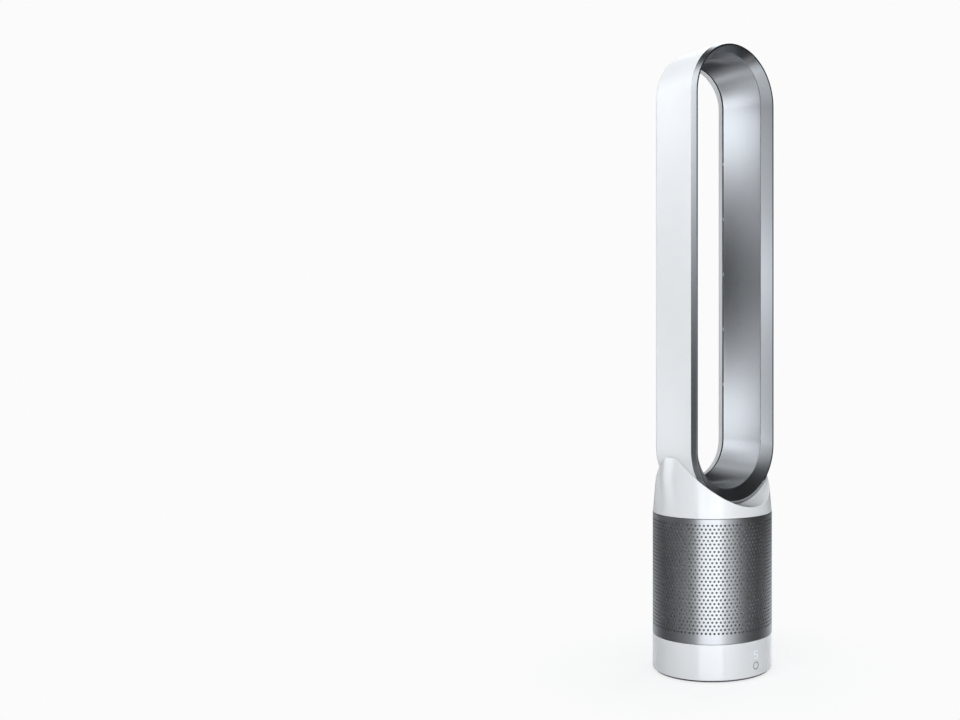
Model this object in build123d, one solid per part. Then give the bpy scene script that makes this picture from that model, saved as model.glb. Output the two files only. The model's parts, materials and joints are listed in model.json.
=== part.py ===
"""A bladeless tower fan with an air filter.

A flat foot stands on the floor.  The whole tower above it swivels on a
spindle: a lower housing with the electronics, a filter cartridge behind a
perforated shroud, and the tall hollow loop that blows the air out of a
narrow slot.  A mixed-flow impeller inside the filter feeds the loop.

Millimetres.  +Z is up, the front faces -Y, and the origin is the middle of
the floor under the foot.  "Depth" is measured towards the front, so a point
at depth d lies at y = -d.
"""
from build123d import *
import math
import os

# ---------------------------------------------------------------- clearances
HAIRLINE = 0.7          # dark line between outer shells that stack
MOVING_GAP = 0.3        # between pieces of bodies that move against each other
FIT_GAP = 0.1           # between pieces that are fixed to each other
RUNNING_FIT = 0.05      # radial, shaft in bearing

# ---------------------------------------------------------------- whole object
TOTAL_HEIGHT = 1018.0
BODY_RADIUS = 98.0

# ---------------------------------------------------------------- foot
PAD_HEIGHT = 1.5
PAD_RADIUS = 8.0
PAD_COUNT = 6
PAD_SIDES = 16
PAD_ANGLE = 30.0
PAD_INSET = 15.0        # pad centre, in from the plate's edge
PLATE_INSET = 3.0
PLATE_THICKNESS = 2.7
PLATE_EDGE = 0.6         # bevel under the plate's rim
GLIDE_HEIGHT = 9.5
GLIDE_RADIUS = 68.0
GLIDE_WIDTH = 6.0

# ---------------------------------------------------------------- pivot
SPINDLE_RADIUS = 16.0
SPINDLE_BORE = 11.0
SPINDLE_FLANGE_RADIUS = 25.0
SPINDLE_FLANGE_THICKNESS = 2.0
FOOT_SCREW_COUNT = 3
FOOT_SCREW_ANGLE = 30.0
SLEEVE_WALL = 4.0
SLEEVE_RISE = 5.0       # sleeve above the chassis floor
SLEEVE_DROP = 4.0       # sleeve below the chassis floor
RETAINER_THICKNESS = 1.8

# ---------------------------------------------------------------- oscillation drive
GEAR_MODULE = 1.25
SECTOR_FULL_TEETH = 56  # teeth of the whole wheel that the sector is cut from
SECTOR_TEETH = 15
PINION_TEETH = 14
PRESSURE_ANGLE = 20.0
TOOTH_HEIGHT = 0.8      # addendum, in modules
ROOT_DEPTH = 1.2        # dedendum, in modules
BACKLASH = 0.3
SECTOR_THICKNESS = 5.5
SECTOR_BORE_GAP = 1.0   # sector's bore outside the spindle flange
PINION_LIFT = 0.8       # pinion above the foot plate
PINION_HEIGHT = 6.5
PINION_SHAFT_RADIUS = 2.5
PINION_SHAFT_REACH = 9.0
STEPPER_RADIUS = 14.0
STEPPER_HEIGHT = 19.0
EAR_REACH = 6.0          # fixing ears past the motor's can
EAR_WIDTH = 8.0
EAR_THICKNESS = 1.2

# ---------------------------------------------------------------- lower housing
HOUSING_HEIGHT = 56.0
HOUSING_WALL = 2.5
HOUSING_EDGE = 0.6      # bevel of the outer edges
BOSS_RADIUS = 4.2
BOSS_SIDES = 8
BOSS_COUNT = 4
BOSS_ANGLE = 45.0
BOSS_MERGE = 1.0        # how far a boss runs into the housing's wall
CHASSIS_THICKNESS = 3.0
DECK_THICKNESS = 3.6
DECK_DROP = 1.9         # deck's top below the housing's rim
SCREW_RADIUS = 1.5
SCREW_SIDES = 6         # of the heads, the shanks and their holes
SCREW_HEAD_RADIUS = 3.0
SCREW_HEAD_HEIGHT = 1.8
SCREW_LENGTH = 12.0

# ---------------------------------------------------------------- button and display
BUTTON_HEIGHT = 21.0    # middle, above the floor
BUTTON_RADIUS = 5.1
BUTTON_TRAVEL = 1.0
BUTTON_SIDE_GAP = 0.25
BUTTON_RING_WIDTH = 0.5
BUTTON_FLANGE = 1.4
BUTTON_FLANGE_THICKNESS = 1.5
DISPLAY_HEIGHT = 40.0   # middle, above the floor
DISPLAY_WIDTH = 26.0
DISPLAY_TALL = 22.0
DISPLAY_THICKNESS = 6.0
DISPLAY_SETBACK = 4.2   # module's front face behind the housing's inner wall
LENS_SIZE = 14.0
BRACKET_THICKNESS = 2.5
BRACKET_WIDTH = 32.0
SWITCH_SIZE = 6.0

# ---------------------------------------------------------------- boards and sensor
BOARD_WIDTH = 58.0
BOARD_DEPTH = 34.0
BOARD_THICKNESS = 1.6
BOARD_SETBACK = 32.5    # board's front edge behind the housing's inner wall
BOARD_EDGE = 5.0        # rails and components in from the board's side
RAIL_HEIGHT = 5.0
RAIL_WIDTH = 4.0
PROCESSOR_SIZE = 14.0
PROCESSOR_HEIGHT = 2.0
RELAY_WIDTH = 12.0
RELAY_HEIGHT = 6.0
CAPACITOR_RADIUS = 5.0
CAPACITOR_HEIGHT = 12.0
SUPPLY_WIDTH = 30.0
SUPPLY_DEPTH = 58.0
SUPPLY_HEIGHT = 24.0
SUPPLY_SETBACK = 19.5   # outer side behind the housing's inner wall
SUPPLY_EDGE = 1.5
SENSOR_SIZE = 18.0
SENSOR_HEIGHT = 12.0
SENSOR_CHANNEL = 4.0    # height of its air channel
SENSOR_SETBACK = 25.5   # outer side behind the housing's inner wall
GLAND_HEIGHT = 26.0
GLAND_RADIUS = 5.5
GLAND_BORE = 3.6
GLAND_REACH = 4.0       # gland inside the housing's wall
GLAND_LIP = 1.5         # its collar behind the wall
GLAND_LIP_GAP = 1.0

# ---------------------------------------------------------------- filter cartridge
SHROUD_HEIGHT = 195.6
SHROUD_WALL = 1.4
HOLE_ROWS = 5
HOLES_PER_ROW = 18
HOLE_FLATS = 14.0       # across the flats of each six-sided hole
HOLE_MARGIN_LOW = 22.0
HOLE_MARGIN_HIGH = 16.0
CAP_THICKNESS = 5.0
CAP_EDGE = 0.5
FILTER_THICKNESS = 22.0 # from the shroud's outside to the cartridge's bore
CORE_WALL = 2.0
CORE_WINDOW_ROWS = 2
CORE_WINDOWS = 6
CORE_BAR_WIDTH = 26.0   # upright bars between the windows
CORE_BAR_HEIGHT = 22.0  # bands between the rows of windows
CARBON_WALL = 3.2
PLEAT_COUNT = 30
PLEAT_DEPTH = 9.5
PLEAT_PAPER = 1.1
PLEAT_FOLD = 3.3        # depth of the paper at an outer fold
PLEAT_SETBACK = 3.0     # folds inside the caps' rim
GASKET_WIDTH = 6.0
GASKET_HEIGHT = 2.0
GASKET_INSET = 2.0      # gasket outside the cartridge's bore

# ---------------------------------------------------------------- fan unit
BUCKET_CLEARANCE = 13.5 # between the bucket and the cartridge's bore
BUCKET_WALL = 2.5
BUCKET_FLOOR = 3.0
BUCKET_TOP_DROP = 5.0   # bucket's rim below the shroud's top
BUCKET_FLANGE = 5.0
BUCKET_FLANGE_THICKNESS = 4.0
INLET_COUNT = 8
INLET_HEIGHT = 64.0
INLET_RIB = 8.0
SEAL_HEIGHT = 3.2
SEAL_OVERHANG = 2.0     # seal past the bucket's wall
IMPELLER_DROP = 103.8   # impeller's lower end below the bucket's rim
IMPELLER_HEIGHT = 42.0
IMPELLER_TIP_GAP = 1.5
IMPELLER_HUB_LOW = 11.0
IMPELLER_HUB_HIGH = 30.0
BLADE_COUNT = 9
BLADE_SWEEP = 62.0
BLADE_THICKNESS = 2.6
BLADE_INSET_LOW = 2.0   # blade's edges inside the hub's ends
BLADE_INSET_HIGH = 1.0
HUB_NOSE = 4.0          # solid hub below the shaft's bore
MOTOR_SHAFT_RADIUS = 3.0
DIFFUSER_GAP = 4.0      # above the impeller
DIFFUSER_HEIGHT = 42.0
DIFFUSER_RING_GAP = 3.0
DIFFUSER_WALL = 2.2
VANE_COUNT = 7
VANE_SWEEP = -26.0
VANE_INSET = 2.0        # vanes inside the ring's ends
MOTOR_RADIUS = 27.5
MOTOR_HEIGHT = 34.0
MOTOR_EDGE = 2.5
MOTOR_END = 4.0         # solid end of the can above the shaft
ISOLATOR_COUNT = 3
ISOLATOR_HEIGHT = 18.0
ISOLATOR_ANGLE = 22.0
ISOLATOR_START = 20.0
TAIL_HEIGHT = 13.0
TAIL_RIM = 2.0
TAIL_TIP_RADIUS = 14.0

# ---------------------------------------------------------------- loop
RIM_INSET = 5.7         # loop's widest half-width inside the body's radius
RIM_DEPTH = 45.0
REAR_TAPER = 4.7        # shell narrower where its rear corner starts, each side
REAR_DEPTH = -48.0
REAR_CORNER = 11.0
SHELL_WALL = 2.6
NOSE_DEPTH = 55.0       # sharp front edge of the metal ring
BEVEL_WIDTH = 3.9       # outer bevel from the rim to the front edge
NOSE_LAND = 0.9
FLARE_DEPTH = 40.0      # where the front flare turns into the inner wall
FLARE_WIDTH = 14.4
THROAT_DEPTH = -34.5
WALL_TAPER = 13.0       # inner wall from the flare to the throat
RING_WALL = 2.2
REBATE_LENGTH = 7.0
LOCATOR_WALL = 1.6
SLOT_WIDTH = 2.2
LIP_OFFSET = 1.0        # rear lip outside the throat
LIP_WALL = 2.2
INNER_RISE_TOP = 4.3    # inner outline's arc centres above the outer ones
INNER_RISE_BOTTOM = 5.5
SPACERS_PER_LEG = 5
SPACER_PITCH = 93.8
SPACER_HEIGHT = 5.0
SPACER_INNER_INSET = 0.2
SPACER_OUTER_INSET = 0.8

# ---------------------------------------------------------------- collar and duct
COLLAR_FRONT_HEIGHT = 15.0
COLLAR_GAP = 0.8        # shadow line round the loop
COLLAR_HEIGHT = 92.4    # of the whole cone
COLLAR_INSET_LOW = 0.4
COLLAR_INSET_HIGH = 8.2
COLLAR_WALL = 2.8
SADDLE_WALL = 2.4
DUCT_RADIUS = 36.0
DUCT_WALL = 2.4
DUCT_FLANGE_OVERHANG = 3.5  # duct's flange past the bucket
DUCT_FLANGE_THICKNESS = 2.6
DUCT_FUNNEL_RISE = 9.0
DUCT_REACH = 16.0       # duct inside the loop, above the shell's lowest point

# ---------------------------------------------------------------- release latch
RELEASE_HEIGHT = 7.5    # middle of the button, above the collar's lower edge
RELEASE_WIDTH = 24.0
RELEASE_TALL = 8.0
RELEASE_TRAVEL = 2.5
RELEASE_SIDE_GAP = 0.35
RELEASE_CAP_DEPTH = 9.0
LATCH_STEM_WIDTH = 10.0
LATCH_RING_GAP = 5.0    # ring outside the duct's flange
LATCH_RING_WIDTH = 6.0
LATCH_RING_THICKNESS = 2.0
LATCH_ARM_WIDTH = 12.0
LATCH_ARM_THICKNESS = 2.2
LATCH_HOOK_HEIGHT = 3.0
LATCH_HOOK_GAP = 0.4    # between the hook and the flange that it would catch

# ---------------------------------------------------------------- worked-out levels
plate_radius = BODY_RADIUS - PLATE_INSET
plate_bottom = PAD_HEIGHT
plate_top = plate_bottom + PLATE_THICKNESS
housing_bottom = plate_top + MOVING_GAP
housing_top = housing_bottom + HOUSING_HEIGHT
housing_inner = BODY_RADIUS - HOUSING_WALL
chassis_bottom = plate_top + GLIDE_HEIGHT + MOVING_GAP
chassis_top = chassis_bottom + CHASSIS_THICKNESS
sleeve_inner = SPINDLE_RADIUS + RUNNING_FIT
sleeve_top = chassis_top + SLEEVE_RISE
deck_top = housing_top - DECK_DROP
deck_bottom = deck_top - DECK_THICKNESS
boss_circle = housing_inner - BOSS_RADIUS + BOSS_MERGE
board_middle = -(housing_inner - BOARD_SETBACK - BOARD_DEPTH / 2)
shroud_bottom = housing_top + HAIRLINE
shroud_top = shroud_bottom + SHROUD_HEIGHT
shroud_inner = BODY_RADIUS - SHROUD_WALL
cap_radius = shroud_inner - FIT_GAP
media_bottom = shroud_bottom + CAP_THICKNESS
media_top = shroud_top - CAP_THICKNESS
filter_bore = BODY_RADIUS - FILTER_THICKNESS
bucket_radius = filter_bore - BUCKET_CLEARANCE
bucket_inner = bucket_radius - BUCKET_WALL
duct_flange_radius = bucket_radius + DUCT_FLANGE_OVERHANG
latch_ring_inner = duct_flange_radius + LATCH_RING_GAP
bucket_top = shroud_top - BUCKET_TOP_DROP
seal_top = bucket_top + SEAL_HEIGHT
impeller_bottom = bucket_top - IMPELLER_DROP
impeller_top = impeller_bottom + IMPELLER_HEIGHT
diffuser_bottom = impeller_top + DIFFUSER_GAP
diffuser_top = diffuser_bottom + DIFFUSER_HEIGHT
diffuser_radius = bucket_inner - DIFFUSER_RING_GAP
motor_bottom = diffuser_bottom + DIFFUSER_WALL
hub_radius = MOTOR_RADIUS + FIT_GAP + DIFFUSER_WALL
collar_bottom = shroud_top + HAIRLINE
collar_top = collar_bottom + COLLAR_HEIGHT
rim_half_width = BODY_RADIUS - RIM_INSET
rear_half_width = rim_half_width - REAR_TAPER
nose_half_width = rim_half_width - BEVEL_WIDTH
flare_half_width = nose_half_width - FLARE_WIDTH
throat_half_width = flare_half_width - WALL_TAPER
lip_half_width = throat_half_width + LIP_OFFSET
loop_bottom = collar_bottom + COLLAR_FRONT_HEIGHT + COLLAR_GAP
outer_low = loop_bottom + rim_half_width
outer_high = TOTAL_HEIGHT - rim_half_width
inner_low = outer_low + INNER_RISE_BOTTOM
inner_high = outer_high + INNER_RISE_TOP
corner_depth = REAR_DEPTH + REAR_CORNER
shell_taper = (rim_half_width - rear_half_width) / (RIM_DEPTH - corner_depth)
lip_depth = THROAT_DEPTH - SLOT_WIDTH
sector_pitch = GEAR_MODULE * SECTOR_FULL_TEETH / 2
pinion_pitch = GEAR_MODULE * PINION_TEETH / 2
pinion_y = sector_pitch + pinion_pitch
flange_bottom = seal_top + MOVING_GAP
BURIED = 1.0            # how far a fused piece reaches into its neighbour
FRONT, REAR = -90.0, 90.0   # directions round the tower, in degrees
PAST = 5.0              # how far a cutter reaches past what it cuts
TURN = 360.0


# ---------------------------------------------------------------- helpers
def disc(radius, low, high, x=0.0, y=0.0):
    """A round plate or rod that stands on `low`."""
    base = (Align.CENTER, Align.CENTER, Align.MIN)
    return Pos(x, y, low) * Cylinder(radius, high - low, align=base)


def tube(outer, inner, low, high, x=0.0, y=0.0):
    """A round wall with an open bore."""
    return disc(outer, low, high, x, y) - disc(inner, low - PAST, high + PAST, x, y)


def block(x_range, y_range, z_range):
    """A box given by its limits along each axis."""
    size = [high - low for low, high in (x_range, y_range, z_range)]
    corner = (x_range[0], y_range[0], z_range[0])
    return Pos(*corner) * Box(*size, align=(Align.MIN, Align.MIN, Align.MIN))


def rod_y(radius, y_low, y_high, z, x=0.0):
    """A round rod along Y."""
    base = (Align.CENTER, Align.CENTER, Align.MIN)
    return Pos(x, y_low, z) * Rot(-90, 0, 0) * Cylinder(radius, y_high - y_low, align=base)


def turned(points):
    """A solid of revolution from (radius, height) points."""
    outline = Polyline(*[(radius, 0, height) for radius, height in points], close=True)
    return revolve(Face(Wire(outline.edges())), Axis.Z)


def prism(sides, radius, low, high, x=0.0, y=0.0):
    """An upright prism given by the circle round its corners."""
    return Pos(x, y, low) * extrude(RegularPolygon(radius, sides), high - low, dir=(0, 0, 1))


def screw_hole(low, high, x, y):
    """A cutter for a screw's hole through what lies between two levels."""
    return prism(SCREW_SIDES, SCREW_RADIUS, low - PAST, high + PAST, x, y)


def polar(radius, degrees):
    angle = math.radians(degrees)
    return radius * math.cos(angle), radius * math.sin(angle)


def around(count, start=0.0):
    return [start + TURN * step / count for step in range(count)]


def stadium(half_width, depth, low, high):
    """The loop's outline: two straight legs and two half circles, each in two arcs."""
    y = -depth
    side = half_width * math.sqrt(0.5)
    left_low, right_low = (-half_width, y, low), (half_width, y, low)
    left_high, right_high = (-half_width, y, high), (half_width, y, high)
    bottom, top = (0, y, low - half_width), (0, y, high + half_width)
    edges = [
        Line(right_low, right_high),
        ThreePointArc(right_high, (side, y, high + side), top),
        ThreePointArc(top, (-side, y, high + side), left_high),
        Line(left_high, left_low),
        ThreePointArc(left_low, (-side, y, low - side), bottom),
        ThreePointArc(bottom, (side, y, low - side), right_low),
    ]
    return Wire([edge.edge() for edge in edges])


def outer_loft(profile):
    """A solid through stadiums (half_width, depth) about the outer arc centres."""
    wires = [stadium(half, depth, outer_low, outer_high) for half, depth in profile]
    return Solid.make_loft(wires, ruled=True)


def inner_loft(profile):
    """The same about the inner arc centres."""
    wires = [stadium(half, depth, inner_low, inner_high) for half, depth in profile]
    return Solid.make_loft(wires, ruled=True)


def shell_half_width(depth):
    """Outer half-width of the loop's shell between the rim and the rear corner."""
    return rim_half_width - shell_taper * (RIM_DEPTH - depth)


def involute(angle):
    return math.tan(angle) - angle


def tooth_points(teeth, middle):
    """One tooth's outline, anticlockwise, centred on `middle` degrees."""
    pitch = GEAR_MODULE * teeth / 2
    pressure = math.radians(PRESSURE_ANGLE)
    base = pitch * math.cos(pressure)
    half_tooth = (math.pi * GEAR_MODULE - BACKLASH) / 4 / pitch
    root = pitch - ROOT_DEPTH * GEAR_MODULE
    tip = pitch + TOOTH_HEIGHT * GEAR_MODULE
    flank = []
    for radius in (root, max(root, base), pitch, tip):
        roll = math.acos(min(1.0, base / radius))
        half = half_tooth + involute(pressure) - involute(roll)
        flank.append((radius, math.degrees(half)))
    if base <= root:
        del flank[0]
    rising = [polar(radius, middle - half) for radius, half in flank]
    falling = [polar(radius, middle + half) for radius, half in reversed(flank)]
    return rising + falling


# ---------------------------------------------------------------- base body
def base_plate():
    plate = disc(plate_radius, plate_bottom, plate_top)
    plate = chamfer(plate.edges().group_by(Axis.Z)[0], PLATE_EDGE)
    return plate - disc(SPINDLE_BORE, plate_bottom - PAST, plate_top + PAST)


def rubber_feet():
    circle = plate_radius - PAD_INSET
    spots = [polar(circle, angle) for angle in around(PAD_COUNT, PAD_ANGLE)]
    return Compound([prism(PAD_SIDES, PAD_RADIUS, 0, PAD_HEIGHT, *spot) for spot in spots])


def glide_ring():
    return tube(GLIDE_RADIUS, GLIDE_RADIUS - GLIDE_WIDTH, plate_top, plate_top + GLIDE_HEIGHT)


def pivot_spindle():
    flange_top = plate_top + SPINDLE_FLANGE_THICKNESS
    top = sleeve_top + MOVING_GAP
    body = disc(SPINDLE_FLANGE_RADIUS, plate_top, flange_top) + disc(SPINDLE_RADIUS, plate_top, top)
    return body - disc(SPINDLE_BORE, plate_top - PAST, top + PAST)


def spindle_retainer():
    low = sleeve_top + MOVING_GAP
    return tube(sleeve_inner + SLEEVE_WALL, SPINDLE_BORE, low, low + RETAINER_THICKNESS)


def gear_sector():
    pitch_angle = TURN / SECTOR_FULL_TEETH
    first = REAR - (SECTOR_TEETH - 1) / 2 * pitch_angle
    rim = []
    for step in range(SECTOR_TEETH):
        rim += tooth_points(SECTOR_FULL_TEETH, first + step * pitch_angle)
    bore = SPINDLE_FLANGE_RADIUS + SECTOR_BORE_GAP
    half_span = SECTOR_TEETH / 2 * pitch_angle
    root = sector_pitch - ROOT_DEPTH * GEAR_MODULE
    end_a, end_b = REAR - half_span, REAR + half_span
    outline = [
        Polyline(polar(bore, end_a), polar(root, end_a), *rim, polar(root, end_b), polar(bore, end_b)),
        ThreePointArc(polar(bore, end_b), polar(bore, REAR), polar(bore, end_a)),
    ]
    edges = [edge for line in outline for edge in line.edges()]
    face = Face(Wire(edges))
    return Pos(0, 0, plate_top) * extrude(face, SECTOR_THICKNESS, dir=(0, 0, 1))


def foot_screws():
    """Heads of the screws that hold the spindle's flange on the foot."""
    seat = plate_top + SPINDLE_FLANGE_THICKNESS
    circle = (SPINDLE_RADIUS + SPINDLE_FLANGE_RADIUS) / 2
    top = seat + SCREW_HEAD_HEIGHT
    spots = [polar(circle, angle) for angle in around(FOOT_SCREW_COUNT, FOOT_SCREW_ANGLE)]
    return Compound([prism(SCREW_SIDES, SCREW_RADIUS, seat, top, *spot) for spot in spots])


# ---------------------------------------------------------------- tower body
def boss_spots():
    return [polar(boss_circle, angle) for angle in around(BOSS_COUNT, BOSS_ANGLE)]


def lower_housing():
    wall = disc(BODY_RADIUS, housing_bottom, housing_top)
    wall = chamfer(wall.edges().filter_by(GeomType.CIRCLE), HOUSING_EDGE)
    wall -= disc(housing_inner, housing_bottom - PAST, housing_top + PAST)
    for spot in boss_spots():
        wall += prism(BOSS_SIDES, BOSS_RADIUS, chassis_top, deck_bottom, *spot)
    for spot in boss_spots():
        wall -= screw_hole(chassis_top, deck_bottom, *spot)
    bezel = BUTTON_RADIUS + BUTTON_SIDE_GAP + BUTTON_RING_WIDTH
    wall -= rod_y(bezel, -BODY_RADIUS - PAST, -housing_inner + PAST, BUTTON_HEIGHT)
    wall -= rod_y(GLAND_RADIUS, housing_inner - PAST, BODY_RADIUS + PAST, GLAND_HEIGHT)
    return wall


def chassis():
    floor = disc(housing_inner - FIT_GAP, chassis_bottom, chassis_top)
    sleeve_outer = sleeve_inner + SLEEVE_WALL
    floor += disc(sleeve_outer, chassis_bottom - SLEEVE_DROP, sleeve_top)
    for x in (BOARD_EDGE - BOARD_WIDTH / 2, BOARD_WIDTH / 2 - BOARD_EDGE):
        floor += block((x - RAIL_WIDTH / 2, x + RAIL_WIDTH / 2),
                       (board_middle - BOARD_DEPTH / 2, board_middle + BOARD_DEPTH / 2),
                       (chassis_top - BURIED, chassis_top + RAIL_HEIGHT))
    floor -= disc(sleeve_inner, chassis_bottom - SLEEVE_DROP - PAST, sleeve_top + PAST)
    shaft_hole = PINION_SHAFT_RADIUS + 2 * MOVING_GAP
    floor -= disc(shaft_hole, chassis_bottom - PAST, chassis_top + PAST, 0, pinion_y)
    for spot in boss_spots():
        floor -= screw_hole(chassis_bottom, chassis_top, *spot)
    notch = BUTTON_RADIUS + BUTTON_FLANGE + MOVING_GAP
    floor -= rod_y(notch, -BODY_RADIUS, button_back() + BUTTON_TRAVEL + MOVING_GAP, BUTTON_HEIGHT)
    return floor


def top_deck():
    deck = disc(housing_inner - FIT_GAP, deck_bottom, deck_top)
    for spot in boss_spots():
        deck -= screw_hole(deck_bottom, deck_top, *spot)
    return deck


def screw(x, y, seat, down):
    """A screw whose head rests on `seat` and whose shank goes down, or up."""
    side = -1 if down else 1
    shank_ends = sorted((seat, seat + side * SCREW_LENGTH))
    head_ends = sorted((seat, seat - side * SCREW_HEAD_HEIGHT))
    head = prism(SCREW_SIDES, SCREW_HEAD_RADIUS, *head_ends, x, y)
    return head + prism(SCREW_SIDES, SCREW_RADIUS - RUNNING_FIT, *shank_ends, x, y)


def chassis_screws():
    return Compound([screw(x, y, chassis_bottom, down=False) for x, y in boss_spots()])


def deck_screws():
    return Compound([screw(x, y, deck_top, down=True) for x, y in boss_spots()])


def button_ring():
    inner = BUTTON_RADIUS + BUTTON_SIDE_GAP
    outer = inner + BUTTON_RING_WIDTH
    front = -BODY_RADIUS - PAST
    ring = rod_y(outer, front, -housing_inner, BUTTON_HEIGHT)
    ring -= rod_y(inner, front - PAST, -housing_inner + PAST, BUTTON_HEIGHT)
    return ring & disc(BODY_RADIUS, housing_bottom, housing_top)


def bracket_front():
    """Y of the face that carries the display module and the switch."""
    return -(housing_inner - DISPLAY_SETBACK - DISPLAY_THICKNESS)


def front_bracket():
    front = bracket_front()
    half = BRACKET_WIDTH / 2
    top = DISPLAY_HEIGHT + DISPLAY_TALL / 2
    upright = block((-half, half), (front, front + BRACKET_THICKNESS), (chassis_top, top))
    foot = block((-half, half), (front, front + 5 * BRACKET_THICKNESS),
                 (chassis_top, chassis_top + BRACKET_THICKNESS))
    return upright + foot


def display_module():
    front = bracket_front()
    half = DISPLAY_WIDTH / 2
    low, high = DISPLAY_HEIGHT - DISPLAY_TALL / 2, DISPLAY_HEIGHT + DISPLAY_TALL / 2
    return block((-half, half), (front - DISPLAY_THICKNESS, front), (low, high))


def display_lens():
    front = bracket_front() - DISPLAY_THICKNESS
    half = LENS_SIZE / 2
    lens = block((-half, half), (-housing_inner, front), (DISPLAY_HEIGHT - half, DISPLAY_HEIGHT + half))
    return lens & disc(housing_inner - FIT_GAP, housing_bottom, housing_top)


def button_back():
    """Y of the button's inner end at rest."""
    return -(housing_inner - DISPLAY_SETBACK) + BUTTON_FLANGE_THICKNESS


def tact_switch():
    front = button_back() + BUTTON_TRAVEL + MOVING_GAP
    half = SWITCH_SIZE / 2
    low, high = BUTTON_HEIGHT - half, BUTTON_HEIGHT + half
    return block((-half, half), (front, bracket_front()), (low, high))


def main_board():
    low = chassis_top + RAIL_HEIGHT
    top = low + BOARD_THICKNESS
    half_x, half_y = BOARD_WIDTH / 2, BOARD_DEPTH / 2
    board = block((-half_x, half_x), (board_middle - half_y, board_middle + half_y), (low, top))
    half = PROCESSOR_SIZE / 2
    board += block((-half, half), (board_middle - half, board_middle + half),
                   (top - BURIED / 2, top + PROCESSOR_HEIGHT))
    relay_end = half_x - BOARD_EDGE
    board += block((relay_end - RELAY_WIDTH, relay_end), (board_middle - half, board_middle),
                   (top - BURIED / 2, top + RELAY_HEIGHT))
    capacitor = disc(CAPACITOR_RADIUS, top - BURIED / 2, top + CAPACITOR_HEIGHT,
                     BOARD_EDGE + CAPACITOR_RADIUS - half_x, board_middle)
    return board + capacitor


def power_supply():
    side = housing_inner - SUPPLY_SETBACK
    half = SUPPLY_DEPTH / 2
    box = block((-side, SUPPLY_WIDTH - side), (-half, half), (chassis_top, chassis_top + SUPPLY_HEIGHT))
    return chamfer(box.edges().group_by(Axis.Z)[-1], SUPPLY_EDGE)


def oscillation_motor():
    top = chassis_top + STEPPER_HEIGHT
    can = disc(STEPPER_RADIUS, chassis_top, top, 0, pinion_y)
    reach, half = STEPPER_RADIUS + EAR_REACH, EAR_WIDTH / 2
    ear = block((-reach, reach), (pinion_y - half, pinion_y + half),
                (chassis_top, chassis_top + EAR_THICKNESS))
    bore_top = chassis_top + PINION_SHAFT_REACH + MOVING_GAP
    shaft_bore = disc(PINION_SHAFT_RADIUS + RUNNING_FIT, chassis_top - PAST, bore_top, 0, pinion_y)
    return can + ear - shaft_bore


def air_sensor():
    side = housing_inner - SENSOR_SETBACK
    half = SENSOR_SIZE / 2
    body = block((side - SENSOR_SIZE, side), (-half, half), (chassis_top, chassis_top + SENSOR_HEIGHT))
    wall = (SENSOR_HEIGHT - SENSOR_CHANNEL) / 2
    return body - block((side - SENSOR_SIZE + wall, side - wall), (-half - PAST, half + PAST),
                        (chassis_top + wall, chassis_top + wall + SENSOR_CHANNEL))


def cord_gland():
    inner_end = housing_inner - GLAND_REACH
    gland = rod_y(GLAND_RADIUS - FIT_GAP, inner_end, BODY_RADIUS + PAST, GLAND_HEIGHT)
    gland += rod_y(GLAND_RADIUS + GLAND_LIP, inner_end, housing_inner - GLAND_LIP_GAP, GLAND_HEIGHT)
    gland -= rod_y(GLAND_BORE, inner_end - PAST, BODY_RADIUS + 2 * PAST, GLAND_HEIGHT)
    return gland & disc(BODY_RADIUS, housing_bottom, housing_top)


def motor_bucket():
    low = deck_top
    flange_low = bucket_top - BUCKET_FLANGE_THICKNESS
    body = disc(bucket_radius, low, bucket_top)
    body += disc(bucket_radius + BUCKET_FLANGE, flange_low, bucket_top)
    body -= disc(bucket_inner, low + BUCKET_FLOOR, bucket_top + PAST)
    sill = low + BUCKET_FLOOR + INLET_RIB
    window_width = 2 * math.pi * bucket_radius / INLET_COUNT - INLET_RIB
    window = block((bucket_inner - PAST, bucket_radius + PAST), (-window_width / 2, window_width / 2),
                   (sill, sill + INLET_HEIGHT))
    for angle in around(INLET_COUNT):
        body -= Rot(0, 0, angle) * window
    return body


def bucket_seal():
    return tube(bucket_radius + SEAL_OVERHANG, bucket_inner, bucket_top, seal_top)


def vane(angle, low, high, inner, outer, sweep, thickness, sections):
    """A twisted blade, as flat sections stacked up the shaft.  inner gives its root by height."""
    wires = []
    for step in range(sections):
        share = step / (sections - 1)
        z = low + share * (high - low)
        turn = angle + sweep * share * (2 - share)
        root = inner(share)
        half = thickness / 2
        corners = [(root, -half), (outer, -half), (outer, half), (root, half)]
        placed = []
        for along, across in corners:
            x, y = polar(1.0, turn)
            placed.append((along * x - across * y, along * y + across * x, z))
        wires.append(Wire(Polyline(*placed, close=True).edges()))
    return Solid.make_loft(wires, ruled=True)


def diffuser():
    hub = tube(hub_radius, MOTOR_RADIUS + FIT_GAP, diffuser_bottom, diffuser_top)
    hub += tube(hub_radius, MOTOR_SHAFT_RADIUS * 3, diffuser_bottom, motor_bottom)
    ring = tube(diffuser_radius, diffuser_radius - DIFFUSER_WALL, diffuser_bottom, diffuser_top)
    outer = diffuser_radius - DIFFUSER_WALL / 2
    for angle in around(VANE_COUNT):
        ring += vane(angle, diffuser_bottom + VANE_INSET, diffuser_top - VANE_INSET,
                     lambda share: hub_radius - BURIED, outer, VANE_SWEEP, DIFFUSER_WALL, 3)
    return ring + hub


def fan_motor():
    top = motor_bottom + MOTOR_HEIGHT
    body = disc(MOTOR_RADIUS, motor_bottom, top)
    body = chamfer(body.edges().group_by(Axis.Z)[-1], MOTOR_EDGE)
    return body - disc(MOTOR_SHAFT_RADIUS + RUNNING_FIT, motor_bottom - PAST, top - MOTOR_END)


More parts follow.
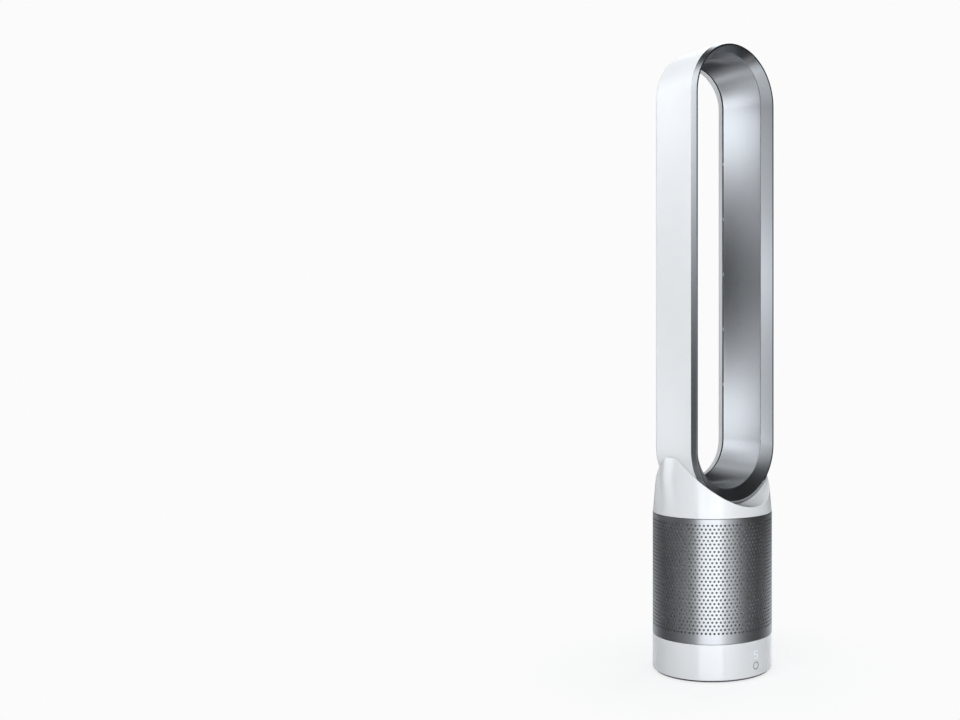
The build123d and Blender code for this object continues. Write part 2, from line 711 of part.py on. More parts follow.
def tail_cone():
    low, high = diffuser_top, diffuser_top + TAIL_HEIGHT
    return turned([
        (0, low),
        (hub_radius, low),
        (hub_radius, low + TAIL_RIM),
        (TAIL_TIP_RADIUS, high),
        (0, high),
    ])


def isolators():
    """Rubber blocks between the diffuser's ring and the bucket."""
    middle = (diffuser_bottom + diffuser_top) / 2
    low, high = middle - ISOLATOR_HEIGHT / 2, middle + ISOLATOR_HEIGHT / 2
    ring = tube(bucket_inner, diffuser_radius, low, high)
    half = bucket_inner * math.tan(math.radians(ISOLATOR_ANGLE / 2))
    wedge = block((bucket_inner / 2, bucket_inner + PAST), (-half, half), (low, high))
    return Compound([(Rot(0, 0, angle) * wedge) & ring for angle in around(ISOLATOR_COUNT, ISOLATOR_START)])


# ---------------------------------------------------------------- driven bodies
def drive_pinion():
    pitch_angle = TURN / PINION_TEETH
    rim = []
    for step in range(PINION_TEETH):
        rim += tooth_points(PINION_TEETH, FRONT + (step + 0.5) * pitch_angle)
    face = Face(Wire(Polyline(*rim, close=True).edges()))
    low = plate_top + PINION_LIFT
    gear = Pos(0, pinion_y, low) * extrude(face, PINION_HEIGHT, dir=(0, 0, 1))
    return gear + disc(PINION_SHAFT_RADIUS, low, chassis_top + PINION_SHAFT_REACH, 0, pinion_y)


def hub_at(share):
    """Radius of the impeller's hub at a share of its height."""
    return IMPELLER_HUB_LOW + (IMPELLER_HUB_HIGH - IMPELLER_HUB_LOW) * share ** 1.5


def impeller():
    steps = 5
    side = [(hub_at(i / steps), impeller_bottom + IMPELLER_HEIGHT * i / steps) for i in range(steps + 1)]
    hub = turned([(0, impeller_bottom)] + side + [(0, impeller_top)])
    tip = bucket_inner - IMPELLER_TIP_GAP
    for angle in around(BLADE_COUNT):
        hub += vane(angle, impeller_bottom + BLADE_INSET_LOW, impeller_top - BLADE_INSET_HIGH,
                    lambda share: hub_at(share) - 3 * BURIED, tip, BLADE_SWEEP, BLADE_THICKNESS, 5)
    return hub - disc(MOTOR_SHAFT_RADIUS, impeller_bottom + HUB_NOSE, impeller_top + PAST)


def motor_shaft():
    top = motor_bottom + MOTOR_HEIGHT - MOTOR_END - MOVING_GAP
    return disc(MOTOR_SHAFT_RADIUS, impeller_bottom + HUB_NOSE, top)


def power_button():
    front = -BODY_RADIUS - PAST
    flange_front = button_back() - BUTTON_FLANGE_THICKNESS
    cap = rod_y(BUTTON_RADIUS, front, button_back(), BUTTON_HEIGHT)
    cap &= disc(BODY_RADIUS, housing_bottom, housing_top)
    return cap + rod_y(BUTTON_RADIUS + BUTTON_FLANGE, flange_front, button_back(), BUTTON_HEIGHT)


# ---------------------------------------------------------------- filter body
def shroud():
    """A sleeve of narrow flats, one behind each column of its staggered holes."""
    flats = 2 * HOLES_PER_ROW
    outline = RegularPolygon(BODY_RADIUS, flats) - RegularPolygon(shroud_inner, flats, major_radius=False)
    sleeve = extrude(outline, SHROUD_HEIGHT, dir=(0, 0, 1))
    wall = Pos(0, 0, shroud_bottom) * Rot(0, 0, TURN / flats / 2) * sleeve
    first = shroud_bottom + HOLE_MARGIN_LOW
    pitch = (SHROUD_HEIGHT - HOLE_MARGIN_LOW - HOLE_MARGIN_HIGH) / (HOLE_ROWS - 1)
    cutter = extrude(RegularPolygon(HOLE_FLATS / 2, 6, major_radius=False), 4 * SHROUD_WALL, both=True)
    holes = []
    for row in range(HOLE_ROWS):
        stagger = TURN / HOLES_PER_ROW * (row % 2) / 2
        height = first + row * pitch
        for angle in around(HOLES_PER_ROW, stagger):
            holes.append(Rot(0, 0, angle) * Pos(BODY_RADIUS, 0, height) * Rot(0, 90, 0) * cutter)
    return wall - holes


def filter_bottom_cap():
    low, high = shroud_bottom, media_bottom
    rim = tube(cap_radius, filter_bore, low, high)
    return chamfer(rim.edges().filter_by(GeomType.CIRCLE).group_by(Axis.Z)[0], CAP_EDGE)


def filter_top_cap():
    low, high = media_top, shroud_top
    return tube(cap_radius, filter_bore, low, high)


def hepa_media():
    outer = cap_radius - PLEAT_SETBACK
    inner = outer - PLEAT_DEPTH
    step = TURN / PLEAT_COUNT
    outside, inside = [], []
    for pleat in range(PLEAT_COUNT):
        outside += [polar(outer, pleat * step), polar(inner + PLEAT_PAPER, (pleat + 0.5) * step)]
        inside += [polar(outer - PLEAT_FOLD, pleat * step), polar(inner, (pleat + 0.5) * step)]
    ring = Face(Wire(Polyline(*outside, close=True).edges()))
    ring -= Face(Wire(Polyline(*inside, close=True).edges()))
    return Pos(0, 0, media_bottom) * extrude(ring, media_top - media_bottom, dir=(0, 0, 1))


def carbon_sleeve():
    inner = filter_bore + CORE_WALL + FIT_GAP
    return tube(inner + CARBON_WALL, inner, media_bottom, media_top)


def inner_core():
    core = tube(filter_bore + CORE_WALL, filter_bore, media_bottom, media_top)
    height = (media_top - media_bottom) / CORE_WINDOW_ROWS
    width = 2 * filter_bore * math.sin(math.pi / CORE_WINDOWS) - CORE_BAR_WIDTH
    half_height = (height - CORE_BAR_HEIGHT) / 2
    windows = []
    for row in range(CORE_WINDOW_ROWS):
        middle = media_bottom + (row + 0.5) * height
        window = block((filter_bore / 2, filter_bore + PAST), (-width / 2, width / 2),
                       (middle - half_height, middle + half_height))
        windows += [Rot(0, 0, angle) * window for angle in around(CORE_WINDOWS)]
    return core - windows


def filter_gasket():
    outer = filter_bore + GASKET_INSET + GASKET_WIDTH
    high = shroud_bottom
    return tube(outer, outer - GASKET_WIDTH, high - GASKET_HEIGHT, high)


# ---------------------------------------------------------------- loop body
def rear_corner(half_width, radius, depth):
    """Points of the rounded rear corner, from the side to the rear face."""
    turns = [math.radians(angle) for angle in (0, 30, 60, 90)]
    middle = half_width - radius
    return [(middle + radius * math.cos(turn), depth - radius * math.sin(turn)) for turn in turns]


def loop_shell():
    outside = [(rim_half_width, RIM_DEPTH)] + rear_corner(rear_half_width, REAR_CORNER, corner_depth)
    front_inner = rim_half_width - SHELL_WALL + shell_taper * PAST
    inside = [(front_inner, RIM_DEPTH + PAST)]
    inside += rear_corner(rear_half_width - SHELL_WALL, REAR_CORNER - SHELL_WALL, corner_depth)
    shell = outer_loft(outside) - outer_loft(inside)
    lip_outer = lip_half_width + LIP_WALL
    shell += inner_loft([(lip_outer, lip_depth), (lip_outer, REAR_DEPTH + BURIED)])
    shell -= inner_loft([(lip_half_width, lip_depth + PAST), (lip_half_width, REAR_DEPTH - PAST)])
    hole = disc(DUCT_RADIUS + FIT_GAP, loop_bottom - PAST, loop_bottom + DUCT_REACH)
    return shell - hole


def loop_ring():
    flare_slope = (nose_half_width - NOSE_LAND - flare_half_width) / (NOSE_DEPTH - FLARE_DEPTH)
    wall_slope = (flare_half_width - throat_half_width) / (FLARE_DEPTH - THROAT_DEPTH)
    channel = [
        (throat_half_width - wall_slope, THROAT_DEPTH - 1),
        (flare_half_width, FLARE_DEPTH),
        (nose_half_width - NOSE_LAND + flare_slope, NOSE_DEPTH + 1),
    ]
    backing_turn = FLARE_DEPTH - RING_WALL
    backing_end = RIM_DEPTH + RING_WALL
    backing = [
        (throat_half_width + RING_WALL, THROAT_DEPTH),
        (flare_half_width + RING_WALL, backing_turn),
        (flare_half_width + RING_WALL + flare_slope * (backing_end - backing_turn), backing_end),
    ]
    rebate = rim_half_width - SHELL_WALL - FIT_GAP - shell_taper * REBATE_LENGTH
    ring = outer_loft([(rim_half_width, RIM_DEPTH), (nose_half_width, NOSE_DEPTH)])
    locator = outer_loft([(rebate, RIM_DEPTH - REBATE_LENGTH), (rebate, RIM_DEPTH + BURIED)])
    bore = rebate - LOCATOR_WALL
    locator -= outer_loft([(bore, RIM_DEPTH - REBATE_LENGTH - PAST), (bore, RIM_DEPTH + PAST)])
    return ring + locator + inner_loft(backing) - inner_loft(channel)


def slot_spacers():
    middle = (inner_low + inner_high) / 2
    first = middle - (SPACERS_PER_LEG - 1) / 2 * SPACER_PITCH
    blocks = []
    for side in (-1, 1):
        near, far = sorted((side * (lip_half_width + SPACER_INNER_INSET),
                            side * (lip_half_width + LIP_WALL - SPACER_OUTER_INSET)))
        for step in range(SPACERS_PER_LEG):
            z = first + step * SPACER_PITCH
            blocks.append(block((near, far), (-THROAT_DEPTH, -lip_depth),
                                (z - SPACER_HEIGHT / 2, z + SPACER_HEIGHT / 2)))
    return Compound(blocks)


def collar_cone(wall, low, high):
    """The collar's cone, taken in by a wall and cut to two levels."""
    slope = (COLLAR_INSET_HIGH - COLLAR_INSET_LOW) / COLLAR_HEIGHT
    low_radius = BODY_RADIUS - COLLAR_INSET_LOW - wall - slope * (low - collar_bottom)
    high_radius = BODY_RADIUS - COLLAR_INSET_LOW - wall - slope * (high - collar_bottom)
    return turned([(0, low), (low_radius, low), (high_radius, high), (0, high)])


def trough(gap):
    """The loop's outline with a gap round it, run out past the cone front and rear."""
    reach = BODY_RADIUS + 2 * PAST
    front = rim_half_width + gap
    rear = rear_half_width + gap
    return outer_loft([(front, reach), (front, RIM_DEPTH), (rear, corner_depth), (rear, -reach)])


def collar():
    body = collar_cone(0, collar_bottom, collar_top) - trough(COLLAR_GAP)
    inside = collar_cone(COLLAR_WALL, collar_bottom - PAST, collar_top - COLLAR_WALL)
    body -= inside - trough(COLLAR_GAP + SADDLE_WALL)
    body -= disc(DUCT_RADIUS + FIT_GAP, collar_bottom - PAST, loop_bottom + DUCT_REACH)
    return body - release_window(RELEASE_SIDE_GAP)


def air_duct():
    low = flange_bottom
    flange_top = low + DUCT_FLANGE_THICKNESS
    funnel_top = flange_top + DUCT_FUNNEL_RISE
    high = loop_bottom + DUCT_REACH - MOVING_GAP
    inner = DUCT_RADIUS - DUCT_WALL
    mouth = bucket_inner - DUCT_WALL
    return turned([
        (mouth, low),
        (duct_flange_radius, low),
        (duct_flange_radius, flange_top),
        (mouth + DUCT_WALL, flange_top),
        (DUCT_RADIUS, funnel_top),
        (DUCT_RADIUS, high),
        (inner, high),
        (inner, funnel_top - DUCT_WALL / 2),
        (mouth, flange_top - DUCT_WALL / 2),
    ])


# ---------------------------------------------------------------- release latch body
def release_window(gap):
    """The button's outline, grown by a gap, as a block that runs out of the collar's rear."""
    middle = collar_bottom + RELEASE_HEIGHT
    half = RELEASE_WIDTH / 2 + gap
    tall = RELEASE_TALL / 2 + gap
    pill = extrude(SlotOverall(2 * half, 2 * tall), BODY_RADIUS / 2)
    return Pos(0, BODY_RADIUS + PAST, middle) * Rot(90, 0, 0) * pill


def release_button():
    middle = collar_bottom + RELEASE_HEIGHT
    ring_outer = latch_ring_inner + LATCH_RING_WIDTH
    ring_low = middle - LATCH_RING_THICKNESS / 2
    ring_high = middle + LATCH_RING_THICKNESS / 2
    cap = release_window(0) & collar_cone(0, collar_bottom, collar_top)
    cap_back = BODY_RADIUS - RELEASE_CAP_DEPTH
    cap -= disc(cap_back, collar_bottom, collar_top)
    half = LATCH_STEM_WIDTH / 2
    stem = block((-half, half), (ring_outer - BURIED, cap_back + BURIED), (ring_low, ring_high))
    ring = tube(ring_outer, latch_ring_inner, ring_low, ring_high)
    hook_front = -(bucket_radius + BUCKET_FLANGE + LATCH_HOOK_GAP)
    arm_inner = -latch_ring_inner
    arm_outer = arm_inner - LATCH_ARM_THICKNESS
    half = LATCH_ARM_WIDTH / 2
    hook_high = bucket_top - BUCKET_FLANGE_THICKNESS - MOVING_GAP
    arm = block((-half, half), (arm_outer, arm_inner), (hook_high - LATCH_HOOK_HEIGHT, ring_high))
    hook = block((-half, half), (arm_outer, hook_front), (hook_high - LATCH_HOOK_HEIGHT, hook_high))
    return cap + stem + ring + arm + hook


# ---------------------------------------------------------------- all nodes
NODES = {
    "base_plate": base_plate,
    "rubber_feet": rubber_feet,
    "glide_ring": glide_ring,
    "pivot_spindle": pivot_spindle,
    "spindle_retainer": spindle_retainer,
    "gear_sector": gear_sector,
    "foot_screws": foot_screws,
    "lower_housing": lower_housing,
    "chassis": chassis,
    "chassis_screws": chassis_screws,
    "top_deck": top_deck,
    "deck_screws": deck_screws,
    "button_ring": button_ring,
    "front_bracket": front_bracket,
    "display_module": display_module,
    "display_lens": display_lens,
    "tact_switch": tact_switch,
    "main_board": main_board,
    "power_supply": power_supply,
    "oscillation_motor": oscillation_motor,
    "air_sensor": air_sensor,
    "cord_gland": cord_gland,
    "motor_bucket": motor_bucket,
    "bucket_seal": bucket_seal,
    "diffuser": diffuser,
    "fan_motor": fan_motor,
    "tail_cone": tail_cone,
    "motor_isolators": isolators,
    "drive_pinion": drive_pinion,
    "impeller": impeller,
    "motor_shaft": motor_shaft,
    "power_button": power_button,
    "shroud": shroud,
    "filter_bottom_cap": filter_bottom_cap,
    "filter_top_cap": filter_top_cap,
    "hepa_media": hepa_media,
    "carbon_sleeve": carbon_sleeve,
    "inner_core": inner_core,
    "filter_gasket": filter_gasket,
    "loop_shell": loop_shell,
    "loop_ring": loop_ring,
    "slot_spacers": slot_spacers,
    "collar": collar,
    "air_duct": air_duct,
    "release_button": release_button,
}

os.makedirs("parts", exist_ok=True)
for name, make in NODES.items():
    export_step(make(), f"parts/{name}.step")
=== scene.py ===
"""Looks of the bladeless tower fan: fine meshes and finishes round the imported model.

Lengths are millimetres and are turned into metres by MM, apart from the camera's and the
studio's, which are metres.  Depth runs towards the front, so depth d lies at y = -d.
"""
import json
import math

import bmesh
import bpy
import mathutils
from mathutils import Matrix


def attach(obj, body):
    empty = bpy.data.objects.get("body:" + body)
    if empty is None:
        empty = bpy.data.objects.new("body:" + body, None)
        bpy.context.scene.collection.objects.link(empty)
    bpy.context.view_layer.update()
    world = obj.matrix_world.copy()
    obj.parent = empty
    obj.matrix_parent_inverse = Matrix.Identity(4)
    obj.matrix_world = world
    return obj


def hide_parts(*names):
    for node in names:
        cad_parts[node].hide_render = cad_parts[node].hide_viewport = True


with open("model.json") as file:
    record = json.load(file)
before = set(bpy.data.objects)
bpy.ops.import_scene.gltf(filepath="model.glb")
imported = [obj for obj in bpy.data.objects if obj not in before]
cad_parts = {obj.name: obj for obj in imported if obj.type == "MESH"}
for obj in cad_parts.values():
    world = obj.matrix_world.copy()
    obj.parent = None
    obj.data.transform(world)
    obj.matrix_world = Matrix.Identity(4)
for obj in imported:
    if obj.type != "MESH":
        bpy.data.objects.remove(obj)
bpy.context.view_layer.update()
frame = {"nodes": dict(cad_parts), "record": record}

MM = 0.001
TURN = 2 * math.pi
SMOOTH_BELOW = 32.0     # degrees; edges that bend more stay sharp
WELD, SLIVER = 1e-6, 1e-7       # metres; nearer points are joined, shorter edges dropped
CUT_WELD = 2e-5         # metres; the same for both where a hole was cut
ROUND_STEPS = 4         # straight pieces in a rounded corner

# ------------------------------------------------------------------ sizes
# LOW, HIGH and HEIGHT are heights above the floor, HALF is half a width, DEPTH runs
# towards the front, WALL is a thickness, and EDGE a rounding.
TOTAL_HEIGHT = 1018.0
BODY_RADIUS = 98.0

HOUSING_LOW, HOUSING_HIGH = 4.5, 60.5
HOUSING_WALL = 2.5
HOUSING_EDGE = 0.9

PLATE_BORE, PLATE_RADIUS = 11.0, 95.0
PLATE_LOW, PLATE_HIGH = 1.5, 4.2
PLATE_CHAMFER = 0.8

DIGIT_HEIGHT = 38.6
DIGIT_SUNK, DIGIT_PROUD = 0.3, 0.04         # how far it goes into the wall and stands out
BUTTON_HEIGHT = 21.0
BUTTON_RADIUS, BUTTON_BACK = 5.1, -89.8     # the back is a y
BUTTON_SUNK = 0.12      # how far the cap's face lies behind the band's front
FLANGE_WIDE, FLANGE_THICK = 1.4, 1.5        # the cap's flange behind the wall
BUTTON_RING_INNER, BUTTON_RING_OUTER = 5.25, 6.15
BUTTON_RING_SUNK, BUTTON_RING_LONG = 0.05, 2.4

SHROUD_LOW, SHROUD_HIGH = 61.2, 256.8
SHROUD_WALL = 1.4
SHROUD_HEM = 0.25       # the last row of faces along each end
HOLES_PER_ROW = 92
HOLE_ROWS = 30
FIRST_ROW, LAST_ROW = 78.2, 247.1
HOLE_RADIUS = 1.88
HOLE_SIDES = 12

COLLAR_LOW, COLLAR_HIGH = 257.5, 349.9
COLLAR_RADIUS_LOW, COLLAR_RADIUS_HIGH = 97.6, 89.8
COLLAR_GAP = 0.8
COLLAR_WALL = 2.8
COLLAR_EDGE = 1.1
TROUGH_LOW = COLLAR_LOW + 15.0              # where the trough is lowest
COLLAR_FOOT = 3.0       # height of its straight foot
COLLAR_SMOOTH = 40.0    # degrees, as SMOOTH_BELOW
SADDLE_END = 20.0       # |depth| where the collar's saddle stops under the loop
DUCT_HOLE = 36.1        # radius of the hole in the shell that the air duct comes up through
DUCT_LEVELS = (270.0, 289.3)                # heights between which it is cut
RELEASE_MIDDLE = 265.0  # height of the release button
RELEASE_WIDE, RELEASE_TALL = 24.7, 8.7      # its window in the collar's rear wall
RELEASE_REACH = (70.0, 110.0)               # the y between which the window is cut

RIM_HALF, RIM_DEPTH = 92.3, 45.0
REAR_HALF, REAR_DEPTH, REAR_CORNER = 87.6, -48.0, 11.0
SHELL_WALL = 2.6
NOSE_HALF, NOSE_DEPTH, NOSE_LAND = 89.6, 55.0, 2.6
FLARE_HALF, FLARE_DEPTH = 74.0, 40.0
THROAT_HALF, THROAT_DEPTH = 61.0, -34.5
FRONT_SLOPE = 0.0875    # how much the inner wall still opens where it meets the flare
RING_WALL = 2.2
BEVEL_HALF = 84.0       # half-width beyond which the ring follows the outer arcs
WALL_STEPS = 9          # lengths into which the curved inner wall is divided
LIP_HALF, LIP_WALL, LIP_DEPTH = 62.0, 2.2, -38.2
LIP_ROUNDING, LIP_TIP, LIP_TAPER = 3.2, 0.5, 5.0    # at the rear; the tip's width; its length
# Painted shade: a dark strip inside the air slot that makes the slot look dark.
SLOT_SHADE_GAP, SLOT_SHADE_WALL = 1.2, 1.0          # the painted-shade strip's gap outside the lip, its thickness
SLOT_SHADE_REAR, SLOT_SHADE_FRONT = LIP_DEPTH - 6.0, THROAT_DEPTH - 1.0
OUTER_LOW = TROUGH_LOW + COLLAR_GAP + RIM_HALF      # centres of the loop's outer arcs
OUTER_HIGH = TOTAL_HEIGHT - RIM_HALF
INNER_LOW, INNER_HIGH = OUTER_LOW + 5.5, OUTER_HIGH + 4.3       # and of its inner arcs
ARC_STEPS, LEG_STEPS = 96, 12               # points on each half circle and leg of the loop


# ------------------------------------------------------------------ mesh helpers
def add_object(name, data):
    """A new object of the scene that holds the data."""
    added = bpy.data.objects.new(name, data)
    bpy.context.scene.collection.objects.link(added)
    return added


def smooth(mesh, below):
    """Smooth shading, but for edges that bend by more than so many degrees."""
    mesh.shade_smooth()
    mesh.set_sharp_from_angle(angle=math.radians(below))


def add_mesh(name, verts, faces, smooth_below=SMOOTH_BELOW, weld=True):
    """A closed mesh object from millimetre points, smooth but for its sharp edges."""
    work = bmesh.new()
    corners = [work.verts.new([c * MM for c in v]) for v in verts]
    for face in faces:
        if len(set(face)) == len(face):
            work.faces.new([corners[i] for i in face])
    if weld:
        bmesh.ops.remove_doubles(work, verts=work.verts, dist=WELD)
        bmesh.ops.dissolve_degenerate(work, edges=work.edges, dist=SLIVER)
    bmesh.ops.recalc_face_normals(work, faces=work.faces)
    mesh = bpy.data.meshes.new(name)
    work.to_mesh(mesh)
    work.free()
    smooth(mesh, smooth_below)
    return add_object(name, mesh)


def cut_prism(piece, around, ends, upright=False, smooth_below=SMOOTH_BELOW):
    """Cuts a prism out of the piece: an outline, run along the depth axis or straight up."""
    verts = [(u, v, end) if upright else (u, end, v) for end in ends for u, v in around]
    count = len(around)
    caps = [tuple(range(count)), tuple(range(2 * count - 1, count - 1, -1))]
    cutter = add_mesh("cutter", verts, ring_faces(2, count, closed=False) + caps, weld=False)
    cut = piece.modifiers.new("cut", "BOOLEAN")
    cut.object, cut.operation, cut.solver = cutter, "DIFFERENCE", "EXACT"
    now = piece.evaluated_get(bpy.context.evaluated_depsgraph_get())
    mesh = bpy.data.meshes.new_from_object(now)
    work = bmesh.new()
    work.from_mesh(mesh)
    bmesh.ops.remove_doubles(work, verts=work.verts, dist=CUT_WELD)
    bmesh.ops.dissolve_degenerate(work, edges=work.edges, dist=CUT_WELD)
    work.to_mesh(mesh)
    work.free()
    piece.modifiers.clear()
    piece.data = mesh
    bpy.data.objects.remove(cutter)
    smooth(mesh, smooth_below)
    return piece


def weigh_normals(piece):
    """Keeps broad faces flat and lets only their small roundings bend the light."""
    keep = piece.modifiers.new("weighted_normals", "WEIGHTED_NORMAL")
    keep.keep_sharp = True
    keep.weight = 100
    return piece


def ring_faces(rings, count, closed=True):
    """Quads between rings of `count` points each; closed joins the last ring to the first."""
    faces = []
    pairs = rings if closed else rings - 1
    for r in range(pairs):
        near, far = r * count, ((r + 1) % rings) * count
        for k in range(count):
            nxt = (k + 1) % count
            faces.append((near + k, near + nxt, far + nxt, far + k))
    return faces


def arc_points(middle, radius, start, end, steps):
    """Points of an arc in a plane, angles in degrees."""
    points = []
    for step in range(steps + 1):
        angle = math.radians(start + (end - start) * step / steps)
        points.append((middle[0] + radius * math.cos(angle),
                       middle[1] + radius * math.sin(angle)))
    return points


def bend_point(start, corner, end, t):
    """Point at t, from 0 to 1, of the curve that rounds a corner."""
    w0, w1, w2 = (1 - t) ** 2, 2 * t * (1 - t), t * t
    return tuple(w0 * p + w1 * q + w2 * r for p, q, r in zip(start, corner, end))


def rounded(profile, closed=True):
    """A profile of (a, b, radius) corners with each corner rounded by its radius."""
    points = []
    count = len(profile)
    for i, (a, b, radius) in enumerate(profile):
        if radius <= 0 or (not closed and i in (0, count - 1)):
            points.append((a, b))
            continue
        before, after = profile[i - 1], profile[(i + 1) % count]
        to_before = (before[0] - a, before[1] - b)
        to_after = (after[0] - a, after[1] - b)
        len_before, len_after = math.hypot(*to_before), math.hypot(*to_after)
        unit_before = (to_before[0] / len_before, to_before[1] / len_before)
        unit_after = (to_after[0] / len_after, to_after[1] / len_after)
        cosine = unit_before[0] * unit_after[0] + unit_before[1] * unit_after[1]
        half = math.acos(max(-1.0, min(1.0, cosine))) / 2
        room = 0.49             # share of each neighbouring edge that a rounding may take
        back = min(radius / math.tan(half), room * len_before, room * len_after)
        start = (a + unit_before[0] * back, b + unit_before[1] * back)
        end = (a + unit_after[0] * back, b + unit_after[1] * back)
        points += [bend_point(start, (a, b), end, step / ROUND_STEPS)
                   for step in range(ROUND_STEPS + 1)]
    return points


def lathe(name, profile, steps, centre=(0.0, 0.0), axis="z"):
    """Turns a closed (radius, height) profile about an upright axis, or about Y."""
    verts = []
    for radius, height in profile:
        for k in range(steps):
            angle = TURN * k / steps
            across, along = radius * math.cos(angle), radius * math.sin(angle)
            if axis == "z":
                verts.append((centre[0] + across, centre[1] + along, height))
            else:
                verts.append((centre[0] + across, height, centre[1] + along))
    return add_mesh(name, verts, ring_faces(len(profile), steps))


def mix(a, b, share):
    """The value that lies at a share of the way from a to b."""
    return a + (b - a) * share


def outline(half, depth, inner_share):
    """One ring of the loop: legs and half circles about arc centres mixed by inner_share."""
    low = mix(OUTER_LOW, INNER_LOW, inner_share)
    high = mix(OUTER_HIGH, INNER_HIGH, inner_share)
    y = -depth
    ring = []
    for step in range(LEG_STEPS):
        ring.append((half, y, mix(low, high, step / LEG_STEPS)))
    for step in range(ARC_STEPS):
        angle = math.pi * step / ARC_STEPS
        ring.append((half * math.cos(angle), y, high + half * math.sin(angle)))
    for step in range(LEG_STEPS):
        ring.append((-half, y, mix(high, low, step / LEG_STEPS)))
    for step in range(ARC_STEPS):
        angle = math.pi * (1 + step / ARC_STEPS)
        ring.append((half * math.cos(angle), y, low + half * math.sin(angle)))
    return ring


def sweep(name, profile, share_at):
    """Sweeps a closed (half-width, depth) profile round the loop, on arcs by share_at."""
    verts = []
    for half, depth in profile:
        verts += outline(half, depth, share_at(half, depth))
    count = 2 * (ARC_STEPS + LEG_STEPS)
    return add_mesh(name, verts, ring_faces(len(profile), count))


# ------------------------------------------------------------------ loop
def make_loop_shell():
    """White outer shell with its rounded rear and the lip that edges the air slot."""
    corner = (REAR_HALF - REAR_CORNER, REAR_DEPTH + REAR_CORNER)
    rear = arc_points(corner, REAR_CORNER, 0, -90, 16)
    inner_corner = arc_points(corner, REAR_CORNER - SHELL_WALL, -90, 0, 8)
    lip_outer = LIP_HALF + LIP_WALL
    rear_inside = REAR_DEPTH + SHELL_WALL
    front = rounded([(RIM_HALF - SHELL_WALL, RIM_DEPTH - 0.1, 0),
                     (RIM_HALF - SHELL_WALL, RIM_DEPTH, 0.0), (RIM_HALF, RIM_DEPTH, 0.25),
                     (rear[0][0], rear[0][1], 0)], closed=False)
    edge = rounded([(corner[0], REAR_DEPTH, 0), (LIP_HALF, REAR_DEPTH, LIP_ROUNDING),
                    (LIP_HALF, LIP_DEPTH, 0.15), (LIP_HALF + LIP_TIP, LIP_DEPTH, 0.15),
                    (lip_outer, LIP_DEPTH - LIP_TAPER, 0.5), (lip_outer, rear_inside, 0)],
                   closed=False)
    profile = front[:-1] + rear + edge[1:] + [(corner[0], rear_inside)] + inner_corner[1:]

    shell = sweep("loop_shell_white", profile,
                  lambda half, depth: 1.0 if half < lip_outer + 0.5 else 0.0)
    mouth = arc_points((0.0, 0.0), DUCT_HOLE, 0, 360, 96)[:-1]
    return weigh_normals(cut_prism(shell, mouth, DUCT_LEVELS, upright=True))


def make_loop_ring():
    """Silver ring: outer bevel, front edge, flare and the long inner wall to the throat."""
    flare_slope = (NOSE_HALF - NOSE_LAND - FLARE_HALF) / (NOSE_DEPTH - FLARE_DEPTH)
    backing_turn, backing_end = FLARE_DEPTH - RING_WALL, RIM_DEPTH + RING_WALL / 2
    backing_half = FLARE_HALF + RING_WALL + flare_slope * (backing_end - backing_turn)
    long = FLARE_DEPTH - THROAT_DEPTH
    curve = ((FLARE_HALF - THROAT_HALF) - FRONT_SLOPE * long) / long ** 2

    def wall_half(back):
        """Half-width of the inner wall at a distance behind the flare."""
        return FLARE_HALF - FRONT_SLOPE * back - curve * back * back
    backs = [long * step / WALL_STEPS for step in range(WALL_STEPS - 1, 0, -1)]
    inner = [(wall_half(back), FLARE_DEPTH - back, 0) for back in backs]
    outer = [(half + RING_WALL, depth, 0) for half, depth, _ in reversed(inner)]
    corners = [
        (THROAT_HALF, THROAT_DEPTH, 0.7),
        *inner,
        (FLARE_HALF, FLARE_DEPTH, 2.2),
        (NOSE_HALF - NOSE_LAND, NOSE_DEPTH, 0.35),
        (NOSE_HALF, NOSE_DEPTH, 0.35),
        (RIM_HALF, RIM_DEPTH + 0.05, 0.12),
        (backing_half + 1.5, RIM_DEPTH + 0.05, 0),
        (backing_half, backing_end, 0),
        (FLARE_HALF + RING_WALL, backing_turn, 1.0),
        *outer,
        (THROAT_HALF + RING_WALL, THROAT_DEPTH, 0.7),
    ]

    def share(half, depth):
        """Inner arcs behind the flare, outer arcs at the front edge, mixed in between."""
        if depth <= FLARE_DEPTH + 1e-6:
            return 1.0
        if half >= BEVEL_HALF:
            return 0.0
        return max(0.0, 1.0 - (depth - FLARE_DEPTH) / (NOSE_DEPTH - 3.0 - FLARE_DEPTH))
    return weigh_normals(sweep("loop_ring_silver", rounded(corners), share))


def make_slot_painted_shade():
    """Dark strip behind the air slot, all the way round inside the shell: painted shade that
    darkens the slot.
    """
    near = LIP_HALF + LIP_WALL + SLOT_SHADE_GAP
    far = near + SLOT_SHADE_WALL
    profile = [(near, SLOT_SHADE_REAR), (near, SLOT_SHADE_FRONT), (far, SLOT_SHADE_FRONT), (far, SLOT_SHADE_REAR)]
    return sweep("slot_painted_shade_strip", profile, lambda half, depth: 1.0)


# ------------------------------------------------------------------ collar
def cone_radius(z):
    """Outer radius of the collar's cone at a height."""
    return mix(COLLAR_RADIUS_LOW, COLLAR_RADIUS_HIGH, (z - COLLAR_LOW) / (COLLAR_HIGH - COLLAR_LOW))


def trough_half(depth):
    """Half-width of the trough that the loop sits in."""
    corner_depth = REAR_DEPTH + REAR_CORNER
    share = (min(RIM_DEPTH, max(corner_depth, depth)) - corner_depth) / (RIM_DEPTH - corner_depth)
    return mix(REAR_HALF, RIM_HALF, share) + COLLAR_GAP


def trough_z(x, depth):
    """Height of the trough's floor."""
    half = trough_half(depth)
    if abs(x) >= half:
        return OUTER_LOW
    return OUTER_LOW - math.sqrt(half * half - x * x)


def collar_edge(angle):
    """Height where the cone meets the trough at an angle round the tower."""
    low, high = COLLAR_LOW, COLLAR_HIGH
    for _ in range(40):         # halves the range until it is far finer than the mesh
        z = (low + high) / 2
        radius = cone_radius(z)
        if trough_z(radius * math.cos(angle), -radius * math.sin(angle)) > z:
            low = z
        else:
            high = z
    return low


